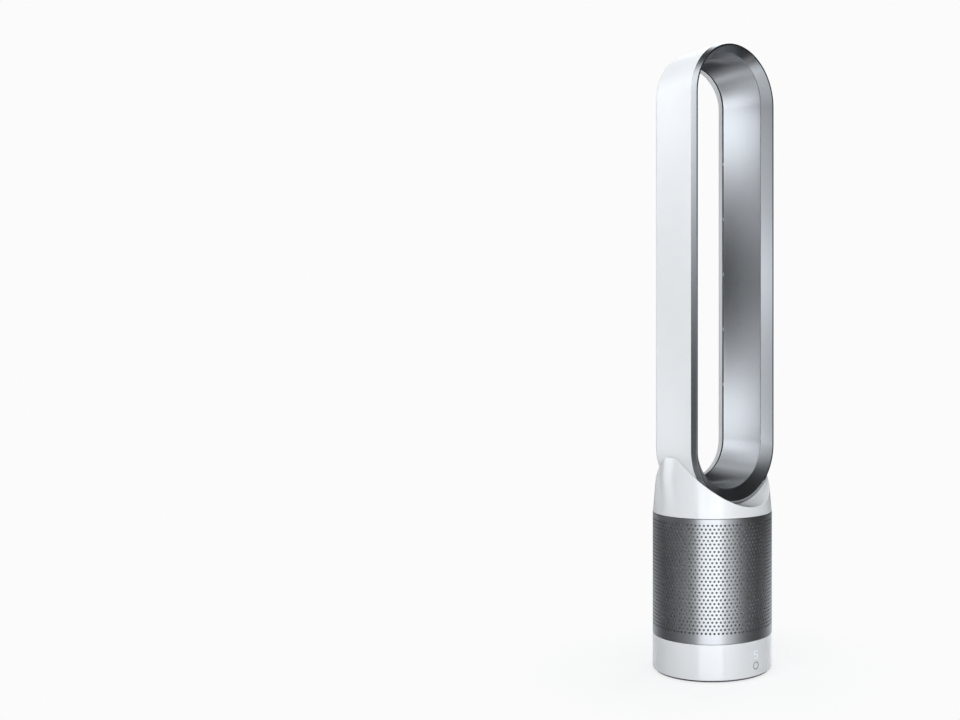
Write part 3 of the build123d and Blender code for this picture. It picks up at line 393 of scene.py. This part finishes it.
def make_collar():
    """White cone with the trough for the loop and the window for the release button."""
    steps, wall_rows, saddle_rows, bend_steps = 512, 14, 10, 5
    columns = []
    for k in range(steps):
        angle = TURN * (k + 0.5) / steps
        c, s = math.cos(angle), math.sin(angle)
        top = collar_edge(angle)

        def on_cone(z, wall=0.0):
            return ((cone_radius(z) - wall) * c, (cone_radius(z) - wall) * s, z)
        foot_edge = rounded([(COLLAR_WALL, 0.0, 0), (0.0, 0.0, 0.5), (0.0, COLLAR_FOOT, 0)],
                            closed=False)
        column = [on_cone(COLLAR_LOW + up, wall) for wall, up in foot_edge]
        room = top - COLLAR_LOW
        bend = min(COLLAR_EDGE, 0.4 * room)
        column += [on_cone(mix(COLLAR_LOW + COLLAR_FOOT, top - bend, row / wall_rows))
                   for row in range(1, wall_rows + 1)]
        crest = on_cone(top)
        x, y_edge = crest[0], crest[1]
        side = 1.0 if y_edge > 0 else -1.0
        reach = max(0.0, abs(y_edge) - SADDLE_END)
        inset = min(bend, reach)

        def on_saddle(run):
            y = side * (abs(y_edge) - run)
            return (x, y, min(COLLAR_HIGH, trough_z(x, -y)))
        start, end = column[-1], on_saddle(inset)
        column += [bend_point(start, crest, end, step / bend_steps)
                   for step in range(1, bend_steps + 1)]
        column += [on_saddle(mix(inset, reach, row / saddle_rows))
                   for row in range(1, saddle_rows + 1)]
        last, tuck = column[-1], 0.985      # the inner side starts a little nearer the middle
        column.append((last[0] * tuck, last[1] * tuck, last[2] - COLLAR_WALL))
        column.append(on_cone(max(COLLAR_LOW + 1.0, top - 3 * COLLAR_WALL), COLLAR_WALL))
        columns.append(column)
    count = len(columns[0])
    verts = [columns[k][i] for i in range(count) for k in range(steps)]
    collar = add_mesh("collar_white", verts, ring_faces(count, steps), smooth_below=COLLAR_SMOOTH)
    radius = RELEASE_TALL / 2
    ends = [(side * (RELEASE_WIDE / 2 - radius), side * 90.0) for side in (1, -1)]
    window = [point for middle, turn in ends
              for point in arc_points((middle, RELEASE_MIDDLE), radius, turn - 180.0, turn, 24)]
    return cut_prism(collar, window, RELEASE_REACH, smooth_below=COLLAR_SMOOTH)


# ------------------------------------------------------------------ shroud
def make_shroud():
    """Thin metal sleeve with every one of its round holes."""
    pitch = TURN / HOLES_PER_ROW
    row_pitch = (LAST_ROW - FIRST_ROW) / (HOLE_ROWS - 1)
    tall, short = row_pitch * 2 / 3, row_pitch / 3
    verts, faces, index = [], [], {}

    def put(u, z, wall):
        """Vertex on the outer or inner side; u counts in half pitches."""
        key = (round(u * 1000) % (2000 * HOLES_PER_ROW), round(z * 1000), wall)
        if key not in index:
            angle = u * pitch / 2
            radius = BODY_RADIUS - wall * SHROUD_WALL
            index[key] = len(verts)
            verts.append((radius * math.cos(angle), radius * math.sin(angle), z))
        return index[key]

    half_pitch_mm = BODY_RADIUS * pitch / 2
    corners = [(1, short), (0, tall), (-1, short), (-1, -short), (0, -tall), (1, -short)]
    for row in range(HOLE_ROWS):
        z = FIRST_ROW + row * row_pitch
        for column in range(HOLES_PER_ROW):
            u = 2 * column + row % 2
            sides = []
            for wall in (0, 1):
                hole = []
                for k in range(HOLE_SIDES):
                    angle = TURN * (k + 1) / HOLE_SIDES
                    hole.append(put(u + HOLE_RADIUS * math.cos(angle) / half_pitch_mm,
                                    z + HOLE_RADIUS * math.sin(angle), wall))
                cell = [put(u + du, z + dz, wall) for du, dz in corners]
                for k in range(6):
                    h0, h1, h2 = hole[2 * k], hole[2 * k + 1], hole[(2 * k + 2) % HOLE_SIDES]
                    c0, c1 = cell[k], cell[(k + 1) % 6]
                    faces += [(c0, h0, h1), (c0, h1, c1), (c1, h1, h2)]
                sides.append(hole)
            for k in range(HOLE_SIDES):
                nxt = (k + 1) % HOLE_SIDES
                faces.append((sides[0][k], sides[0][nxt], sides[1][nxt], sides[1][k]))
    bands = [(SHROUD_LOW, FIRST_ROW, -1, 0), (SHROUD_HIGH, LAST_ROW, 1, (HOLE_ROWS - 1) % 2)]
    for wall in (0, 1):
        for edge, row_z, way, shift in bands:
            hem = edge - way * SHROUD_HEM
            for half_step in range(2 * HOLES_PER_ROW):
                nxt = half_step + 1
                rise, rise_next = (tall, short) if (half_step - shift) % 2 == 0 else (short, tall)
                a = put(half_step, row_z + way * rise, wall)
                b = put(nxt, row_z + way * rise_next, wall)
                e0, e1 = put(half_step, hem, wall), put(nxt, hem, wall)
                faces.append((a, b, e1, e0))
                faces.append((e0, e1, put(nxt, edge, wall), put(half_step, edge, wall)))
    for edge in (SHROUD_LOW, SHROUD_HIGH):
        for half_step in range(2 * HOLES_PER_ROW):
            nxt = half_step + 1
            faces.append((put(half_step, edge, 0), put(nxt, edge, 0),
                          put(nxt, edge, 1), put(half_step, edge, 1)))
    return add_mesh("shroud_perforated", verts, faces, weld=False)


# ------------------------------------------------------------------ lower housing
def on_band(u, z, inset):
    """Point of the round wall, u round it from the front, inset from its outer side."""
    angle = -math.pi / 2 + u / BODY_RADIUS
    radius = BODY_RADIUS - inset
    return (radius * math.cos(angle), radius * math.sin(angle), z)


def make_housing():
    """White band with the round hole for the button cut through its curved wall."""
    half = 8.0              # half side of the patch round the hole
    cells = 12              # cells along the patch's side
    rest = 180              # columns round the rest of the band
    hole = BUTTON_RING_OUTER
    around = [mix(-half, half, i / cells) for i in range(cells + 1)]
    far = [half + (TURN * BODY_RADIUS - 2 * half) * (i + 1) / rest for i in range(rest - 1)]
    columns = around + far
    low, high = HOUSING_LOW + HOUSING_EDGE, HOUSING_HIGH - HOUSING_EDGE
    patch_low, patch_high = BUTTON_HEIGHT - half, BUTTON_HEIGHT + half
    rows = [low, mix(low, patch_low, 0.5)]
    rows += [mix(patch_low, patch_high, i / cells) for i in range(cells + 1)]
    rows += [mix(patch_high, high, (i + 1) / 8) for i in range(8)]
    edge = HOUSING_EDGE
    bottom = [(edge - edge * math.sin(a), edge - edge * math.cos(a))
              for a in [math.radians(15 * i) for i in range(6)]]
    verts, faces = [], []

    def place(u, z, inset):
        verts.append(on_band(u, z, inset))
        return len(verts) - 1

    def ring(z, inset):
        return [place(u, z, inset) for u in columns]

    def join(a, b):
        count = len(a)
        for k in range(count):
            faces.append((a[k], a[(k + 1) % count], b[(k + 1) % count], b[k]))

    def wall(inset):
        """Rings of one side of the wall, with the hole's rim, which it returns."""
        rings = [ring(z, inset) for z in rows]
        first_row = rows.index(patch_low)
        for r in range(len(rows) - 1):
            inside_rows = first_row <= r < first_row + cells
            for k in range(len(columns)):
                if inside_rows and k < cells:
                    continue
                nxt = (k + 1) % len(columns)
                faces.append((rings[r][k], rings[r][nxt], rings[r + 1][nxt], rings[r + 1][k]))
        border = [(first_row, k) for k in range(cells)]
        border += [(first_row + i, cells) for i in range(cells)]
        border += [(first_row + cells, cells - i) for i in range(cells)]
        border += [(first_row + cells - i, 0) for i in range(cells)]
        outer = [rings[r][k] for r, k in border]
        spots = [(columns[k], rows[r] - BUTTON_HEIGHT) for r, k in border]
        layers = [outer]
        for share in (0.4, 0.75, 0.93, 1.0):
            layer = []
            for u, v in spots:
                angle = math.atan2(v, u)
                layer.append(place(mix(u, hole * math.cos(angle), share),
                                   BUTTON_HEIGHT + mix(v, hole * math.sin(angle), share), inset))
            layers.append(layer)
        for a, b in zip(layers, layers[1:]):
            join(a, b)
        return rings, layers[-1]

    outside, outer_rim = wall(0.0)
    inside, inner_rim = wall(HOUSING_WALL)
    join(outer_rim, inner_rim)
    for rings_end, z_end, way in ((outside[0], HOUSING_LOW, 1), (outside[-1], HOUSING_HIGH, -1)):
        fillet = [ring(z_end + way * up, inset) for inset, up in reversed(bottom)]
        join(rings_end, fillet[0])
        for a, b in zip(fillet, fillet[1:]):
            join(a, b)
        lip = ring(z_end, HOUSING_WALL)
        join(fillet[-1], lip)
        join(lip, inside[0] if way == 1 else inside[-1])
    return add_mesh("lower_housing_white", verts, faces)


def make_button():
    """Round cap with a shallow dish, and the grey ring round it."""
    axis = 0.0001               # radius where the turned profile starts and ends
    front, back = -BODY_RADIUS + BUTTON_SUNK, BUTTON_BACK
    flange, flange_front = BUTTON_RADIUS + FLANGE_WIDE, BUTTON_BACK - FLANGE_THICK
    cap = rounded([(axis, front + 0.35, 0), (2.4, front + 0.28, 1.0), (4.3, front, 1.0),
                   (BUTTON_RADIUS, front, 0.35), (BUTTON_RADIUS, flange_front, 0),
                   (flange, flange_front, 0.2), (flange, back, 0.2), (axis, back, 0)], closed=False)
    button = lathe("power_button_cap", cap, steps=96, centre=(0.0, BUTTON_HEIGHT), axis="y")
    face = -BODY_RADIUS + BUTTON_RING_SUNK
    end = face + BUTTON_RING_LONG
    ring = rounded([(BUTTON_RING_INNER, face, 0.12), (BUTTON_RING_OUTER, face, 0.12),
                    (BUTTON_RING_OUTER, end, 0), (BUTTON_RING_INNER, end, 0)])
    bezel = lathe("power_button_ring", ring, steps=96, centre=(0.0, BUTTON_HEIGHT), axis="y")
    return button, bezel


def make_foot():
    """Dark plate under the band."""
    profile = rounded([(PLATE_BORE, PLATE_LOW, 0), (PLATE_RADIUS - PLATE_CHAMFER, PLATE_LOW, 0),
                       (PLATE_RADIUS, PLATE_LOW + PLATE_CHAMFER, 0.3),
                       (PLATE_RADIUS, PLATE_HIGH, 0.4), (PLATE_BORE, PLATE_HIGH, 0)])
    return lathe("foot_plate_dark", profile, steps=256)


def make_digit():
    """Plain lit figure and its point on the band, above the button."""
    half, tall, bar = 3.6, 5.6, 0.75        # half sizes of the figure and of its bars
    dot_left, dot_right = -half - 6.2, -half - 4.8
    bars = [(-half, half, tall - bar, tall + bar), (-half - bar, -half + bar, 0, tall),
            (-half, half, -bar, bar), (half - bar, half + bar, -tall, 0),
            (-half, half, -tall - bar, -tall + bar),
            (dot_left, dot_right, -tall - bar, -tall + bar)]
    verts, faces = [], []
    for left, right, low, high in bars:
        start = len(verts)
        for inset in (DIGIT_SUNK, -DIGIT_PROUD):
            for z in (low, high):
                verts += [on_band(mix(left, right, step / 4), DIGIT_HEIGHT + z, inset)
                          for step in range(5)]
        for k in range(4):
            a, b, c, d = (start + k, start + 5 + k, start + 10 + k, start + 15 + k)
            faces += [(a, a + 1, b + 1, b), (c, d, d + 1, c + 1),
                      (a, c, c + 1, a + 1), (b, b + 1, d + 1, d)]
        for k in (0, 4):
            faces.append((start + k, start + 5 + k, start + 15 + k, start + 10 + k))
    return add_mesh("display_digit", verts, faces, weld=False)


# ------------------------------------------------------------------ materials
def new_material(name, colour, roughness, metallic=0.0, **sockets):
    """A Principled material; returns it with its node tree and shader."""
    material = bpy.data.materials.new(name)
    material.use_nodes = True
    shader = material.node_tree.nodes["Principled BSDF"]
    shader.inputs["Base Color"].default_value = (*colour, 1.0)
    shader.inputs["Roughness"].default_value = roughness
    shader.inputs["Metallic"].default_value = metallic
    for socket, value in sockets.items():
        shader.inputs[socket.replace("_", " ")].default_value = value
    return material, material.node_tree, shader


def noise_range(tree, scale, low, high, stretch=(1, 1, 1)):
    """A noise over the object, in metres, plain and mapped to a range of values."""
    place = tree.nodes.new("ShaderNodeTexCoord")
    stretcher = tree.nodes.new("ShaderNodeMapping")
    stretcher.inputs["Scale"].default_value = stretch
    noise = tree.nodes.new("ShaderNodeTexNoise")
    noise.inputs["Scale"].default_value = scale
    noise.inputs["Detail"].default_value = 3.0
    spread = tree.nodes.new("ShaderNodeMapRange")
    spread.inputs["To Min"].default_value = low
    spread.inputs["To Max"].default_value = high
    tree.links.new(place.outputs["Object"], stretcher.inputs["Vector"])
    tree.links.new(stretcher.outputs["Vector"], noise.inputs["Vector"])
    tree.links.new(noise.outputs["Fac"], spread.inputs["Value"])
    return noise.outputs["Fac"], spread.outputs["Result"]


def tint(tree, shader, factor, dark, light):
    """Colours the shader between two near shades by a factor."""
    ramp = tree.nodes.new("ShaderNodeValToRGB")
    ramp.color_ramp.elements[0].color = (*dark, 1)
    ramp.color_ramp.elements[0].position = 0.3
    ramp.color_ramp.elements[1].color = (*light, 1)
    ramp.color_ramp.elements[1].position = 0.7
    tree.links.new(factor, ramp.inputs["Fac"])
    tree.links.new(ramp.outputs["Color"], shader.inputs["Base Color"])


def bump(tree, shader, height, strength, distance):
    """Raises the surface by a height, to a distance in metres."""
    node = tree.nodes.new("ShaderNodeBump")
    node.inputs["Strength"].default_value = strength
    node.inputs["Distance"].default_value = distance
    tree.links.new(height, node.inputs["Height"])
    tree.links.new(node.outputs["Normal"], shader.inputs["Normal"])


def shade(colour, factor):
    """A colour made lighter or darker."""
    return tuple(min(1.0, c * factor) for c in colour)


BROAD = 12              # how much coarser than the grain the changes of colour are


def finish(name, colour, roughness, grain, variation=0.03, rough_spread=0.04, bump_strength=0.1,
           bump_mm=0.02, metallic=0.0, stretch=(1, 1, 1), **sockets):
    """One finish: a base colour and roughness that vary by a fine grain, with a bump of it."""
    material, tree, shader = new_material(name, colour, roughness, metallic, **sockets)
    fac, rough = noise_range(tree, grain, roughness - rough_spread, roughness + rough_spread,
                             stretch=stretch)
    tree.links.new(rough, shader.inputs["Roughness"])
    broad, _ = noise_range(tree, grain / BROAD, 0, 1, stretch=stretch)
    tint(tree, shader, broad, shade(colour, 1 - variation), shade(colour, 1 + variation))
    if bump_strength:
        bump(tree, shader, fac, bump_strength, bump_mm * MM)
    return material


def glowing(name, colour, strength):
    """A milky finish that gives off a little light of its own."""
    material, tree, shader = new_material(name, colour, 0.3)
    _, glow = noise_range(tree, 300, 0.9 * strength, 1.1 * strength)
    shader.inputs["Emission Color"].default_value = (*colour, 1)
    tree.links.new(glow, shader.inputs["Emission Strength"])
    return material


WHITE = (0.84, 0.845, 0.85)
SILVER = (0.515, 0.525, 0.54)
SHROUD = (0.50, 0.505, 0.515)

MATERIALS = {
    "white_gloss": finish(
        "white_gloss", WHITE, 0.16, 420, variation=0.006, rough_spread=0.02, bump_strength=0.04,
        bump_mm=0.01, Coat_Weight=1.0, Coat_Roughness=0.04, Coat_IOR=1.8),
    "loop_white": finish(
        "loop_white", WHITE, 0.3, 420, variation=0.006, rough_spread=0.02, bump_strength=0.04,
        bump_mm=0.01, Coat_Weight=0.3, Coat_Roughness=0.08, Specular_IOR_Level=0.3),
    "loop_silver": finish(
        "loop_silver", SILVER, 0.25, 2600, variation=0.012, rough_spread=0.03,
        bump_strength=0.05, bump_mm=0.006, metallic=1.0),
    "shroud_metal": finish(
        "shroud_metal", SHROUD, 0.31, 2600, variation=0.015, rough_spread=0.03,
        bump_strength=0.05, bump_mm=0.006, metallic=1.0),
    "foot_grey": finish(
        "foot_grey", (0.07, 0.07, 0.075), 0.55, 1400, variation=0.08, bump_mm=0.03),
    "feet_rubber": finish(
        "feet_rubber", (0.035, 0.035, 0.035), 0.85, 900, variation=0.12, bump_mm=0.05),
    "acetal": finish("acetal", (0.80, 0.80, 0.76), 0.42, 700, variation=0.02),
    "steel": finish(
        "steel", (0.56, 0.565, 0.57), 0.30, 900, variation=0.04, metallic=1.0,
        stretch=(1, 1, 12)),
    "black_plastic": finish(
        "black_plastic", (0.022, 0.022, 0.024), 0.48, 1300, variation=0.1, bump_mm=0.03),
    "grey_plastic": finish(
        "grey_plastic", (0.30, 0.31, 0.32), 0.46, 1300, variation=0.03, bump_mm=0.03),
    "spacer_plastic": finish("spacer_plastic", (0.70, 0.70, 0.70), 0.4, 1300, variation=0.03),
    "ring_grey": finish("ring_grey", (0.07, 0.072, 0.078), 0.28, 900, variation=0.03),
    "board_green": finish("board_green", (0.02, 0.13, 0.06), 0.35, 500, variation=0.12),
    "filter_paper": finish(
        "filter_paper", (0.80, 0.80, 0.77), 0.9, 1500, variation=0.05, bump_mm=0.1,
        bump_strength=0.4),
    "carbon": finish(
        "carbon", (0.015, 0.015, 0.016), 0.8, 900, variation=0.3, bump_mm=0.4,
        bump_strength=0.7),
    "motor_can": finish(
        "motor_can", (0.52, 0.53, 0.54), 0.33, 800, variation=0.04, metallic=1.0,
        stretch=(1, 1, 14)),
    "seal_rubber": finish("seal_rubber", (0.03, 0.03, 0.032), 0.8, 1000, variation=0.12),
    "lens_milky": finish("lens_milky", (0.78, 0.80, 0.82), 0.3, 900, variation=0.02),
}


def dress(piece, slot):
    """Gives a piece the finish of a slot."""
    piece.data.materials.clear()
    piece.data.materials.append(MATERIALS[slot])
    return piece


# ------------------------------------------------------------------ pieces on their bodies
slots = {part["node"]: part["material_slot"] for part in frame["record"]["subparts"]}
for node, piece in frame["nodes"].items():
    for place in piece.material_slots:
        place.material = MATERIALS[slots[node]]


def stand_for(piece, node, body):
    """Dresses a fine piece, hides the plain node that it stands for and hangs it on its body."""
    dress(piece, slots[node])
    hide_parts(node)
    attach(piece, body)
    return piece


shell = stand_for(make_loop_shell(), "loop_shell", "loop")
shell.material_slots[0].material = MATERIALS["loop_white"]    # the same white, less glossy
stand_for(make_loop_ring(), "loop_ring", "loop")
stand_for(make_collar(), "collar", "loop")
# The dark strip in the air slot is painted shade, not a part of the fan.
slot_shade_strip = dress(make_slot_painted_shade(), "black_plastic")
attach(slot_shade_strip, "loop")
stand_for(make_shroud(), "shroud", "filter")
stand_for(make_housing(), "lower_housing", "tower")
stand_for(make_foot(), "base_plate", "base")
button, bezel = make_button()
stand_for(button, "power_button", "button")
stand_for(bezel, "button_ring", "tower")
digit = dress(make_digit(), "lens_milky")
digit.data.materials[0] = glowing("display_glow", (0.80, 0.86, 0.93), 0.13)
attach(digit, "tower")

# ------------------------------------------------------------------ camera
CAMERA_AZIMUTH = -45.0                      # degrees from the fan's front
CAMERA_DISTANCE, CAMERA_HEIGHT = 1.930, 0.530
FOCAL_PIXELS = 1171.8
PHOTO_WIDTH, PHOTO_HEIGHT = 960, 720
FAN_COLUMN, HORIZON_ROW = 712.3, 345.0      # the fan's axis and the eye level in the photograph

camera_data = bpy.data.cameras.new("camera")
camera = add_object("camera", camera_data)
turn = math.radians(CAMERA_AZIMUTH)
camera.location = (CAMERA_DISTANCE * math.sin(turn), -CAMERA_DISTANCE * math.cos(turn),
                   CAMERA_HEIGHT)
camera.rotation_euler = (math.radians(90), 0, turn)
camera_data.lens = camera_data.sensor_width * FOCAL_PIXELS / PHOTO_WIDTH
camera_data.shift_x = (PHOTO_WIDTH / 2 - FAN_COLUMN) / PHOTO_WIDTH
camera_data.shift_y = (HORIZON_ROW - PHOTO_HEIGHT / 2) / PHOTO_WIDTH
bpy.context.scene.camera = camera

# ------------------------------------------------------------------ studio
BACKGROUND = 0.965
AMBIENT = 0.10

# The light tent's wall as (height, radius): wide round the foot, narrow round the loop.
TENT_WALL = [(-0.8, 0.35), (0.27, 0.35), (0.31, 0.19), (2.4, 0.19)]
TENT_COLOUR = (0.96, 1.0, 1.04)
TENT_LEVEL = 0.03       # brightness of the whole tent, under its patches
SOFT, FIRM, HARD = 2, 4, 12                 # how sharply a patch stops

# Patches of light on the tent: direction and half width in degrees, the direction from
# the camera's bearing; height and half height in metres; how the sides stop, how the
# ends stop; brightness.
TENT_PATCHES = {
    "strip_low": (-2.5, 20, 0.13, 0.24, HARD, FIRM, 1.38),
    "skirt_low": (-5, 58, 0.04, 0.24, SOFT, SOFT, 0.46),
    "shoulder_low": (24, 18, 0.04, 0.25, SOFT, SOFT, 0.7),
    "front_even": (16, 20, 0.66, 0.42, FIRM, FIRM, 0.85),
    "front_middle": (18, 20, 0.66, 0.10, SOFT, SOFT, 0.45),
    "left_middle": (-42, 12, 1.05, 0.36, SOFT, SOFT, 1.75),
    "left_high": (-81, 14, 0.945, 0.11, FIRM, SOFT, 2.25),
    "left_low": (-81, 14, 0.392, 0.10, FIRM, SOFT, 1.95),
    "left_far": (-109, 20, 0.63, 0.20, FIRM, FIRM, 0.68),
    "far_high": (-88, 7, 0.78, 0.08, SOFT, SOFT, 0.75),
    "far_low": (-89, 7, 0.53, 0.08, SOFT, SOFT, 0.9),
    "ahead": (-16, 11, 0.66, 0.42, SOFT, SOFT, 0.8),
    "side_high": (-132, 26, 0.98, 0.14, FIRM, SOFT, 0.75),
    "side_low": (-132, 26, 0.35, 0.12, FIRM, SOFT, 0.6),
    "rear_dim": (-142, 22, 0.66, 0.12, SOFT, SOFT, 0.38),
    "rear_right_high": (152, 14, 0.66, 0.30, SOFT, FIRM, 0.7),
    "rear_left": (-140, 30, 0.0, 0.2, SOFT, SOFT, 0.6),
    "rear_right": (150, 36, 0.0, 0.2, SOFT, SOFT, 0.9),
    "rear_high": (180, 40, 1.22, 0.17, SOFT, FIRM, 2.0),
}

# Soft lamps: direction in degrees from the camera's bearing; distance and height in
# metres; width and height of the lamp in metres; power in watts.
LAMP_COLOUR = (0.965, 1.0, 1.035)
LAMP_AIM = 0.6          # share of the fan's height that every lamp looks at
LAMPS = {
    "key_front": (-14, 1.6, 1.25, 0.9, 1.2, 6.0),
    "softbox_left": (-50, 1.1, 1.05, 0.6, 0.6, 3.2),
    "overhead": (-20, 0.7, 1.9, 0.8, 0.8, 8.0),
    "front_mid": (20, 1.4, 0.50, 0.9, 0.5, 5.6),
    "front_top": (40, 0.9, 1.5, 0.6, 0.6, 2.6),
    "fill_right": (95, 0.9, 1.35, 0.6, 0.6, 4.0),
    "rear_left": (-112, 1.5, 1.1, 0.6, 1.2, 3.2),
    "rear_right": (150, 1.6, 0.8, 0.9, 1.2, 14.0),
    "rear_far": (-158, 1.6, 0.9, 0.9, 1.2, 9.0),
}


def bearing(degrees):
    """World direction on the floor of an angle from the camera's bearing."""
    angle = math.radians(CAMERA_AZIMUTH + degrees)
    return math.sin(angle), -math.cos(angle)


def add_math(tree, operation, first, second=None):
    """A Math node on numbers or sockets; returns its output."""
    node = tree.nodes.new("ShaderNodeMath")
    node.operation = operation
    for socket, value in zip(node.inputs, (first, second)):
        if isinstance(value, (int, float)):
            socket.default_value = value
        elif value is not None:
            tree.links.new(value, socket)
    return node.outputs[0]


def tent_patch(tree, heading, height, name, towards, width, level, spread, sides, ends, strength):
    """One patch of light on the tent's cloth."""
    dot = tree.nodes.new("ShaderNodeVectorMath")
    dot.operation = "DOT_PRODUCT"
    dot.inputs[1].default_value = (*bearing(towards), 0)
    tree.links.new(heading, dot.inputs[0])
    inside = 0.99999            # keeps rounding out of the arc cosine's ends
    away = add_math(tree, "ARCCOSINE", add_math(tree, "MULTIPLY", dot.outputs["Value"], inside))
    across = add_math(tree, "POWER", add_math(tree, "DIVIDE", away, math.radians(width)), sides)
    up = add_math(tree, "DIVIDE", add_math(tree, "SUBTRACT", height, level), spread)
    climb = add_math(tree, "POWER", add_math(tree, "ABSOLUTE", up), ends)
    fall = add_math(tree, "MULTIPLY", add_math(tree, "ADD", across, climb), -1)
    patch = add_math(tree, "MULTIPLY", add_math(tree, "EXPONENT", fall), strength)
    patch.node.name = name
    return patch


def add_tent():
    """Round light tent that only gloss sees: nearly dark, with soft patches of light."""
    steps = 96
    verts = []
    for level, radius in TENT_WALL:
        for k in range(steps):
            angle = TURN * k / steps
            verts.append((radius * math.cos(angle), radius * math.sin(angle), level))
    mesh = bpy.data.meshes.new("light_tent")
    mesh.from_pydata(verts, [], ring_faces(len(TENT_WALL), steps, closed=False))
    tent = add_object("light_tent", mesh)
    material = bpy.data.materials.new("tent_cloth")
    material.use_nodes = True
    tree = material.node_tree
    tree.nodes.clear()
    place = tree.nodes.new("ShaderNodeNewGeometry")
    parts = tree.nodes.new("ShaderNodeSeparateXYZ")
    tree.links.new(place.outputs["Position"], parts.inputs[0])
    flat = tree.nodes.new("ShaderNodeCombineXYZ")
    tree.links.new(parts.outputs["X"], flat.inputs["X"])
    tree.links.new(parts.outputs["Y"], flat.inputs["Y"])
    unit = tree.nodes.new("ShaderNodeVectorMath")
    unit.operation = "NORMALIZE"
    tree.links.new(flat.outputs[0], unit.inputs[0])
    total = TENT_LEVEL
    for name, patch in TENT_PATCHES.items():
        value = tent_patch(tree, unit.outputs[0], parts.outputs["Z"], name, *patch)
        total = add_math(tree, "ADD", total, value)
    glow = tree.nodes.new("ShaderNodeEmission")
    glow.inputs["Color"].default_value = (*TENT_COLOUR, 1)
    tree.links.new(total, glow.inputs["Strength"])
    out = tree.nodes.new("ShaderNodeOutputMaterial")
    tree.links.new(glow.outputs[0], out.inputs["Surface"])
    material.cycles.emission_sampling = "NONE"
    mesh.materials.append(material)
    tent.visible_camera = False
    tent.visible_diffuse = False
    tent.visible_transmission = False
    tent.visible_shadow = False


def add_lamp(name, towards, distance, height, width, tall, power):
    """Rectangular soft lamp that looks at the loop; gloss sees the tent instead."""
    lamp_data = bpy.data.lights.new(name, "AREA")
    lamp_data.shape = "RECTANGLE"
    lamp_data.size, lamp_data.size_y = width, tall
    lamp_data.energy = power
    lamp_data.color = LAMP_COLOUR
    lamp = add_object(name, lamp_data)
    along = bearing(towards)
    lamp.location = (along[0] * distance, along[1] * distance, height)
    aim = mathutils.Vector((0, 0, TOTAL_HEIGHT * MM * LAMP_AIM)) - lamp.location
    lamp.rotation_euler = aim.to_track_quat("-Z", "Y").to_euler()
    lamp.visible_camera = False
    lamp.visible_glossy = False


def add_floor():
    """White floor that melts into the background and keeps the fan's soft shadow."""
    size = 6.0
    fade_start, fade_end = 0.11, 0.34       # distances from the fan's axis
    share_near = 0.76                       # share of the background's white up to fade_start
    corners = [(-size, -size, 0), (size, -size, 0), (size, size, 0), (-size, size, 0)]
    mesh = bpy.data.meshes.new("floor")
    mesh.from_pydata(corners, [], [(0, 1, 2, 3)])
    floor = add_object("floor", mesh)
    material, tree, shader = new_material("floor_white", (0.92, 0.92, 0.92), 0.9)
    out = tree.nodes["Material Output"]
    glow = tree.nodes.new("ShaderNodeEmission")
    glow.inputs["Color"].default_value = (BACKGROUND, BACKGROUND, BACKGROUND, 1)
    path = tree.nodes.new("ShaderNodeLightPath")
    seen = add_math(tree, "MAXIMUM", path.outputs["Is Camera Ray"],
                    path.outputs["Is Transmission Ray"])
    place = tree.nodes.new("ShaderNodeNewGeometry")
    reach = tree.nodes.new("ShaderNodeVectorMath")
    reach.operation = "LENGTH"
    tree.links.new(place.outputs["Position"], reach.inputs[0])
    fade = tree.nodes.new("ShaderNodeMapRange")
    fade.inputs["From Min"].default_value = fade_start
    fade.inputs["From Max"].default_value = fade_end
    fade.inputs["To Min"].default_value = share_near
    tree.links.new(reach.outputs["Value"], fade.inputs["Value"])
    share = add_math(tree, "MULTIPLY", seen, fade.outputs["Result"])
    blend = tree.nodes.new("ShaderNodeMixShader")
    tree.links.new(share, blend.inputs["Fac"])
    tree.links.new(shader.outputs[0], blend.inputs[1])
    tree.links.new(glow.outputs[0], blend.inputs[2])
    tree.links.new(blend.outputs[0], out.inputs["Surface"])
    material.cycles.emission_sampling = "NONE"
    mesh.materials.append(material)
    floor.visible_glossy = False


def add_world():
    """White behind the fan and in its gloss, and an even soft light on it."""
    world = bpy.data.worlds.new("studio")
    bpy.context.scene.world = world
    world.use_nodes = True
    tree = world.node_tree
    light = tree.nodes["Background"]
    light.inputs["Strength"].default_value = AMBIENT
    white = tree.nodes.new("ShaderNodeBackground")
    white.inputs["Color"].default_value = (BACKGROUND, BACKGROUND, BACKGROUND, 1)
    light.inputs["Color"].default_value = (1, 1, 1, 1)
    path = tree.nodes.new("ShaderNodeLightPath")
    seen = add_math(tree, "MAXIMUM", path.outputs["Is Camera Ray"], path.outputs["Is Glossy Ray"])
    seen = add_math(tree, "MAXIMUM", seen, path.outputs["Is Transmission Ray"])
    blend = tree.nodes.new("ShaderNodeMixShader")
    tree.links.new(seen, blend.inputs["Fac"])
    tree.links.new(light.outputs[0], blend.inputs[1])
    tree.links.new(white.outputs[0], blend.inputs[2])
    tree.links.new(blend.outputs[0], tree.nodes["World Output"].inputs["Surface"])


add_floor()
add_tent()
for lamp_name, lamp_place in LAMPS.items():
    add_lamp(lamp_name, *lamp_place)
add_world()
bpy.context.scene.view_settings.view_transform = "Standard"
